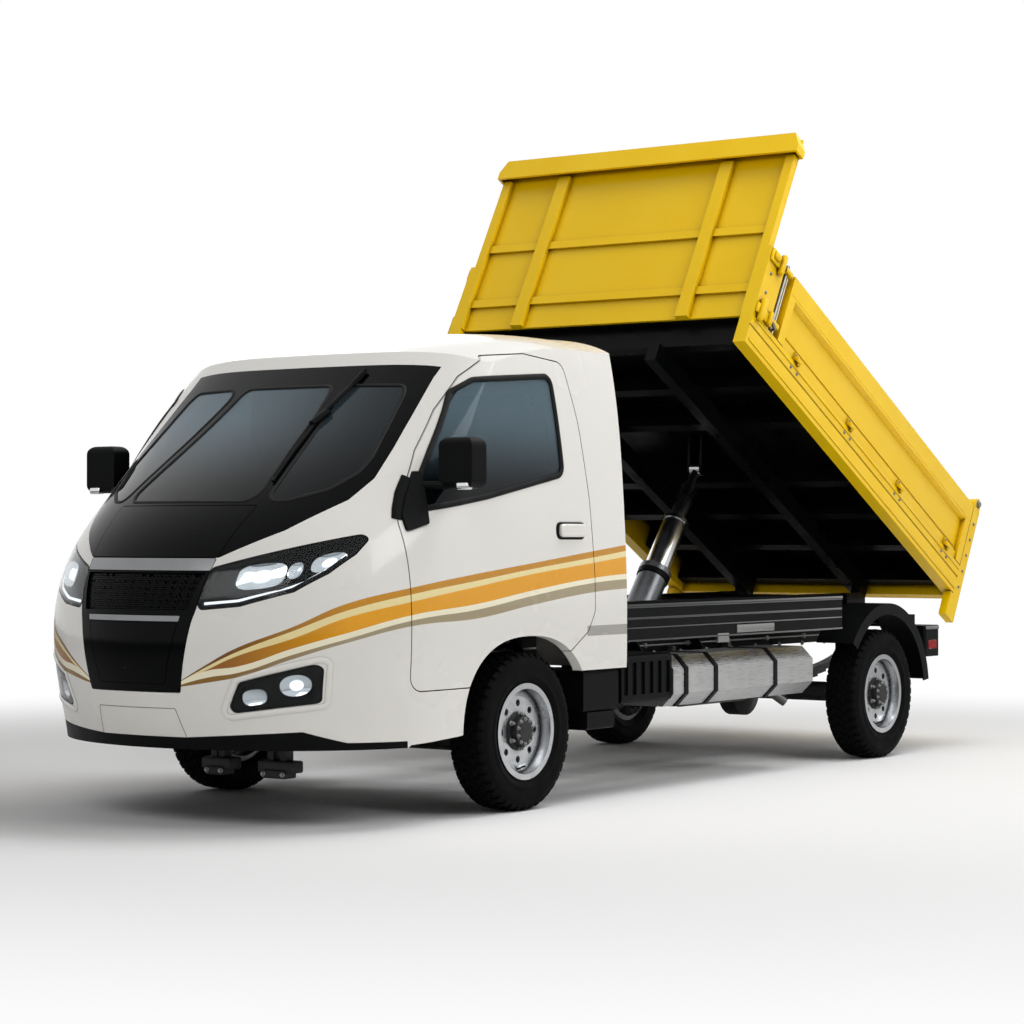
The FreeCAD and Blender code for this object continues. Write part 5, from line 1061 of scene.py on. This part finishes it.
scales = []
columns = 31
for row in range(17):
    z = 0.893 + 0.0088 * row
    reach = field_narrow + (field_wide - field_narrow) * (z - field_low) / field_rise - 0.012
    for column in range(columns):
        x = -reach + 2 * reach * (column + 0.25 + 0.5 * (row % 2)) / columns
        place, normal = grille_place(x, z)
        if place:
            scales.append((place, normal))
scale = bmesh.new()
add_block(scale, (-0.0095, -0.0036, -0.004), (0.0095, 0.0036, 0.0022), 0.0012, segments=1)
field = on_points(scales, finished("scale", scale), 0.35, 5)
add_piece("grille_scales", field, black_gloss, "chassis")
rows, columns = 6, 24
backing = bmesh.new()
layers = []
for depth in (0.030, 0.033):
    sheet = []
    for row in range(rows):
        z = 0.892 + 0.137 * row / (rows - 1)
        line = []
        for column in range(columns + 1):
            x = -0.268 + 0.536 * column / columns
            place = grille_place(x, z)[0] or Vector((x, line[-1].co.y - depth, z))
            line.append(backing.verts.new(place + Vector((0, depth, 0))))
        sheet.append(line)
    layers.append(sheet)
outer = []
for sheet in layers:
    for low, high in zip(sheet, sheet[1:]):
        for i in range(columns):
            backing.faces.new((low[i], low[i + 1], high[i + 1], high[i]))
    outer.append(sheet[0] + [line[-1] for line in sheet[1:-1]] + list(reversed(sheet[-1]))
                 + [line[0] for line in reversed(sheet[1:-1])])
for i in range(len(outer[0])):
    j = (i + 1) % len(outer[0])
    backing.faces.new((outer[0][i], outer[0][j], outer[1][j], outer[1][i]))
add_piece("grille_backing", finished("backing", backing), black_plastic, "chassis")

badge_place, badge_normal = meet(surface("grille_surround"), (0, nose_start, 0.704), (0, 1, 0))
# Both are let into the panel, so that they stay within the truck's length
badge_let_in = 0.0054
badge_spot = [(badge_place + Vector((0, badge_let_in, 0)), badge_normal)]


def rings_of(shape, profile, segments=48):
    """A profile of radii and heights as rings about Z, for bridge."""
    return [add_ring(shape, radius, level, segments) for radius, level in profile]


badge_ring, badge_dome = bmesh.new(), bmesh.new()
ring_radius, ring_thickness = 0.0535, 0.0035
bridge(badge_ring, rings_of(badge_ring, [
    (ring_radius + ring_thickness * math.cos(math.pi * step / 4),
     ring_thickness * math.sin(math.pi * step / 4)) for step in range(8)], 56), hoop=True)
bridge(badge_dome, rings_of(badge_dome, ((0.050, -0.004), (0.050, 0.0005), (0.045, 0.0018),
                                         (0.030, 0.0035), (0.012, 0.0042))))
add_piece("badge_ring", on_points(badge_spot, finished("ring", badge_ring)), chrome, "chassis")
add_piece("badge_dome", on_points(badge_spot, finished("dome", badge_dome)), black_gloss, "chassis")
print("scales", len(scales))

# %% [markdown]
# The doors carry a recessed pull handle and the mirror. The recess is a black plate around the
# white grip, its black painted shade of the hollow. The mirror's glass sits in its rear face and a
# small chrome block is let into its lower corner. Ahead of the door's seam a black cover continues
# the mirror's foot, and one wiper is parked between the two screens.

# %% Handles, mirrors and wiper
handle_y, handle_z = -1.1456, 1.205


def box_outline(middle, half, radius):
    u, v = middle
    a, b = half
    return rounded([(u - a, v - b), (u + a, v - b), (u + a, v + b), (u - a, v + b)], radius)


def door_fittings():
    recess, grip, glass, corner = (bmesh.new() for count in range(4))
    # The recess is a black plate around the grip: painted shade of the hollow
    add_plate(recess, box_outline((handle_y, handle_z), (0.112, 0.038), 0.036), 0.905, 0.9190,
              0.0015, on_flank)
    add_plate(grip, box_outline((handle_y + 0.006, handle_z + 0.002), (0.101, 0.029), 0.028),
              0.912, 0.938, 0.007, on_flank)
    add_plate(glass, box_outline((1.0, 1.482), (0.069, 0.090), 0.03), -2.0082, -2.0052, 0.001,
              on_nose)
    add_block(corner, (1.004, -2.1120, 1.372), (1.066, -2.072, 1.402), 0.008, segments=3)
    return (("door_recess_", recess, black_plastic), ("door_handle_", grip, white_paint),
            ("mirror_glass_", glass, mirror_silver), ("mirror_lamp_", corner, chrome))


for name, shape, material in door_fittings():
    add_pair(name, finished(name, shape), material, "door_")

cover = lay(front_panel, [(-2.1776, 1.425), (-2.2326, 1.355), (-2.2696, 1.290), (-2.2856, 1.252)],
            False, "flank", 0.03, 0.046, 0.012, 0.001, 0.01)
add_piece("pillar_covers", both(cover), black_plastic, "chassis")
wiper_panel = panel_object("wiper panel", "screen_surround", "screen_glass", "cab_body")
# The arm, its joint, the blade's rubber and the blade's spine
wiper = [lay(wiper_panel, line, False, "nose", corner, width, height, lift)
         for line, corner, width, height, lift in (
             ([(0.36, 1.885), (0.345, 1.80), (0.305, 1.66)], 0.05, 0.022, 0.018, 0.014),
             ([(0.330, 1.70), (0.305, 1.645)], 0.01, 0.040, 0.026, 0.014),
             ([(0.312, 1.67), (0.330, 1.54), (0.362, 1.40)], 0.05, 0.011, 0.014, 0.009),
             ([(0.296, 1.66), (0.318, 1.54), (0.352, 1.42)], 0.05, 0.006, 0.006, 0.018))]
add_piece("wiper", together("wiper", wiper), black_plastic, "chassis")
print("door fittings and wiper made")

# %% [markdown]
# The bed is drawn lying down, as reach forward and rise above its hinge, and one matrix tips the
# pieces with it. Each front corner has a latch plate with its handle, and a lock rod behind the
# post with two guides. Beads run along the rails and the drop sides, and the rear posts end in the
# pivot's nut and carry a row of bolts.

# %% Bed fittings
bed_hinge, bed_angle = (0, 2.5024, 0.815), math.radians(-29)
tipped = Matrix.Translation(bed_hinge) @ Matrix.Rotation(bed_angle, 4, "X")


def bed_place(x, reach, rise):
    return tipped @ Vector((x, -reach, rise))


def bed_blocks(name, blocks):
    """Blocks by their ranges across, forward and up, and their edge, as one tipped mesh."""
    shape = bmesh.new()
    for across, reach, rise, edge in blocks:
        add_block(shape, (across[0], -reach[1], rise[0]), (across[1], -reach[0], rise[1]), edge)
    mesh = finished(name, shape)
    mesh.transform(tipped)
    return mesh


latch_mesh = bed_blocks("latches", (
    ((0.921, 0.938), (2.375, 2.515), (0.588, 0.655), 0.004),
    ((0.930, 0.957), (2.402, 2.432), (0.560, 0.668), 0.006),
    ((0.932, 0.953), (2.452, 2.500), (0.606, 0.642), 0.008),
    ((0.886, 0.932), (2.282, 2.352), (0.622, 0.648), 0.004),
    ((0.886, 0.932), (2.282, 2.352), (0.318, 0.344), 0.004),
    ((0.921, 0.940), (2.360, 2.515), (0.284, 0.336), 0.005),
    ((0.930, 0.960), (2.468, 2.496), (0.250, 0.372), 0.007),
    ((0.930, 0.956), (2.386, 2.410), (0.280, 0.352), 0.006)))
rail_bead_mesh = bed_blocks("bead", [((0.922, 0.9295), (-0.08, 2.50), rise, 0.003)
                                     for rise in ((0.128, 0.140), (0.246, 0.258))])
gate_bead_mesh = bed_blocks("gate bead", (((0.896, 0.9035), (0.0, 2.19), (0.352, 0.364), 0.003),
                                          ((0.921, 0.9265), (-0.07, 2.25), (0.556, 0.564), 0.0025)))
rod_path = [bed_place(0.908, 2.318, 0.292), bed_place(0.908, 2.318, 0.676)]
grip_path = [bed_place(0.908, 2.318, 0.30), bed_place(0.936, 2.318, 0.30),
             bed_place(0.944, 2.362, 0.31)]
lock = together("lock", [grow(pipe, wire(path, False), Corner=0.008, Radius=radius, Sides=14)
                         for path, radius in ((rod_path, 0.010), (grip_path, 0.0065))])
for name, mesh, material in (("bed_latches", latch_mesh, yellow_paint),
                             ("rail_beads", rail_bead_mesh, yellow_paint),
                             ("bed_lock_rods", lock, zinc)):
    add_piece(name, both(mesh), material, "bed")

outward = Vector((1, 0, 0))
hinge_reaches = [0.130 + 0.6385 * step for step in range(4)]
outer_face, post_reach = 0.925, -0.1225


def bolt_spots(*spots):
    """Places on the bed's outer face, by their reach and rise, facing out."""
    return [(bed_place(outer_face, reach, rise), outward) for reach, rise in spots]


rail_bolts = bolt_spots(*((reach + shift, 0.232) for reach in hinge_reaches
                          for shift in (-0.034, 0.034)), (2.47, 0.42), (2.47, 0.53))
post_bolts = bolt_spots(*((post_reach, rise) for rise in (0.16, 0.26, 0.36, 0.46, 0.56)))
mesh = together("bolts", [on_points(rail_bolts + post_bolts, hex_bolt(0.0065, 0.007)),
                          on_points(bolt_spots((post_reach, 0.689)), hex_bolt(0.0165, 0.014))])
add_piece("bed_bolts", both(mesh), zinc, "bed")
leaf_bolts = bolt_spots(*((reach + 0.011, rise) for reach in hinge_reaches
                          for rise in (0.298, 0.315)))
leaf_bolt_mesh = on_points(leaf_bolts, hex_bolt(0.0045, 0.005))
add_pair("gate_beads_", gate_bead_mesh, yellow_paint, "side_gate_")
add_pair("gate_bolts_", leaf_bolt_mesh, zinc, "side_gate_")

# %% [markdown]
# The tipping cylinder gets a ring under the barrel's collar and a seal where the rod leaves its
# stage. The chassis gets what the photograph shows under the bed and the bumper: a bare plate and a
# clamp on the skirt, the skirt's ledges, a bright band and a red side marker on the tail lamp's
# box, two castings behind the bumper's lip, and the bolts along the frame's rails. A steel brake
# pipe in clips runs along the frame, as on every such truck.

# %% Cylinder and chassis fittings
cylinder_foot, cylinder_head = Vector((0, 0.6524, 0.56)), bed_place(0, 1.3, 0.112)
cylinder_axis = (cylinder_head - cylinder_foot).normalized()


def gland(along, inner, outer, length, edge=0.002):
    """A ring around the cylinder at a distance along its axis."""
    shape = bmesh.new()
    bridge(shape, rings_of(shape, ((inner, 0), (outer - edge, 0), (outer, edge),
                                   (outer, length - edge), (outer - edge, length),
                                   (inner, length))), hoop=True)
    return on_points([(cylinder_foot + cylinder_axis * along, cylinder_axis)],
                     finished("gland", shape))


# The barrel's ring sits under its collar, the stage's seals the rod and stays clear of the barrel
add_piece("gland_barrel", gland(0.498, 0.079, 0.086, 0.030), black_plastic, "cylinder_barrel")
add_piece("gland_stage", gland(0.883, 0.046, 0.062, 0.006), black_plastic, "cylinder_stage")


def blocks(name, *corners):
    """Blocks by their lower and upper corner and their edge, as one mesh."""
    shape = bmesh.new()
    for low, high, edge in corners:
        add_block(shape, low, high, edge)
    return finished(name, shape)


add_piece("skirt_plate", blocks("plate", ((0.903, 0.30, 0.714), (0.909, 0.66, 0.752), 0.002),
                                ((0.896, 0.12, 0.672), (0.912, 0.22, 0.716), 0.004)),
          zinc, "chassis")
ledges = blocks("ledges", *(((0.899, -0.684, low), (out, 1.362, high), 0.004)
                            for low, high, out in ((0.852, 0.872, 0.914), (0.800, 0.812, 0.910),
                                                   (0.758, 0.766, 0.910), (0.700, 0.710, 0.913))))
add_piece("skirt_ledges", both(ledges), ledge_paint, "chassis")
band = blocks("band", ((0.888, 2.338, 0.668), (0.9035, 2.494, 0.687), 0.003))
add_piece("tail_bands", both(band), strip_paint, "chassis")
marker = bmesh.new()
add_plate(marker, box_outline((2.415, 0.585), (0.048, 0.024), 0.008), 0.896, 0.9035, 0.002,
          on_flank)
add_piece("side_markers", both(finished("marker", marker)), red_lens, "chassis")
castings = []
for low, high in ((-0.04, 0.116), (0.269, 0.452)):
    castings += [((low, -2.49, 0.212), (high, -2.41, 0.262), 0.008),
                 ((low + 0.03, -2.50, 0.190), (high - 0.03, -2.42, 0.225), 0.006),
                 ((low + 0.04, -2.475, 0.25), (low + 0.075, -2.425, 0.46), 0.006),
                 ((high - 0.075, -2.475, 0.25), (high - 0.04, -2.425, 0.46), 0.006)]
add_piece("bumper_castings", blocks("castings", *castings), cast_iron, "chassis")
bumper_bolts = [(Vector((x, -2.4995, 0.208)), Vector((0, -1, 0)))
                for x in (0.0, 0.076, 0.309, 0.412)]
add_piece("casting_bolts", on_points(bumper_bolts, hex_bolt(0.008, 0.009)), zinc, "chassis")

rail_spots = []
frame_tree = surface("frame")
for index in range(17):
    for z in (0.60, 0.70):
        place, normal = meet(frame_tree, (3, -1.9 + 0.25 * index, z), (-1, 0, 0))
        if place and normal.x > 0.95 and abs(place.x - 0.4) < 0.002:
            rail_spots.append((place, normal))
mesh = on_points(rail_spots, hex_bolt(0.009, 0.009))
add_piece("frame_bolts", both(mesh), zinc, "chassis")
pipe_x, pipe_step, pipe_high, pipe_low = 0.411, 0.1, 0.66, 0.64
line = [(pipe_x, y, z) for y, z in ((-1.05, pipe_high), (pipe_step, pipe_high), (0.16, pipe_low),
                                    (2.20, pipe_low), (2.30, 0.60))]
brake_pipe = grow(pipe, wire(line, False), Corner=0.03, Radius=0.005, Sides=10)
clip_places = [(y, pipe_high if y < pipe_step else pipe_low)
               for y in (-0.95 + 0.4 * index for index in range(9))]
clips = blocks("clips", *(((0.398, y - 0.009, z - 0.012), (0.419, y + 0.009, z + 0.012), 0.003)
                          for y, z in clip_places))
add_piece("brake_pipe", together("pipe", [brake_pipe, clips]), zinc, "chassis")
print("frame bolts", 2 * len(rail_spots))

# %% [markdown]
# The two seats are the only padded goods. The solid's outer form is taken as the cut size: it is
# remeshed into even quads, drawn in a little and inflated as cloth, with no point moving more than
# 16 mm, so the cushions crown and their sides pull in between the corners.

# %% Padded seats
def seat_form(side):
    """One seat's solid, remeshed into even quads."""
    shape = bmesh.new()
    shape.from_mesh(nodes["seats"].data)
    bmesh.ops.remove_doubles(shape, verts=shape.verts, dist=1e-5)
    bmesh.ops.delete(shape, geom=[v for v in shape.verts if v.co.x * side < 0], context="VERTS")
    made = put_in_scene("seat form", as_mesh("seat form", shape))
    remesh = made.modifiers.new("even", "REMESH")
    remesh.mode = "VOXEL"
    remesh.voxel_size = 0.016
    made.data = evaluated(made)
    made.modifiers.clear()
    return made


def inflate(made, drawn_in, cap):
    """The form's mesh drawn in, then blown up as cloth by at most the cap."""
    normals = [normal.vector.copy() for normal in made.data.vertex_normals]
    for vertex, normal in zip(made.data.vertices, normals):
        vertex.co = vertex.co - normal * drawn_in
    start = [vertex.co.copy() for vertex in made.data.vertices]
    cloth = made.modifiers.new("pad", "CLOTH")
    cloth.settings.use_pressure = True
    cloth.settings.uniform_pressure_force = 4
    cloth.settings.effector_weights.gravity = 0
    cloth.settings.quality = 4
    scene = bpy.context.scene
    for number in range(1, 21):
        scene.frame_set(number)
    swollen = evaluated(made)
    scene.frame_set(1)
    for vertex, origin in zip(swollen.vertices, start):
        move = vertex.co - origin
        if move.length > cap:
            vertex.co = origin + move * (cap / move.length)
    made.modifiers.clear()
    made.data = swollen
    made.modifiers.new("smooth", "SUBSURF").levels = 1
    mesh = evaluated(made)
    bpy.data.objects.remove(made)
    mesh.shade_smooth()
    return mesh


pads = together("pads", [inflate(seat_form(side), 0.007, 0.016) for side in (1, -1)])
pads.shade_smooth()
seat_pads = add_piece("seat_pads", pads, seat_cloth, "chassis", replaced=["seats"])
print("seat faces", len(pads.polygons))

# %% [markdown]
# The throw-away panels go.

# %% Finish
for panel in spare_panels:
    bpy.data.objects.remove(panel)
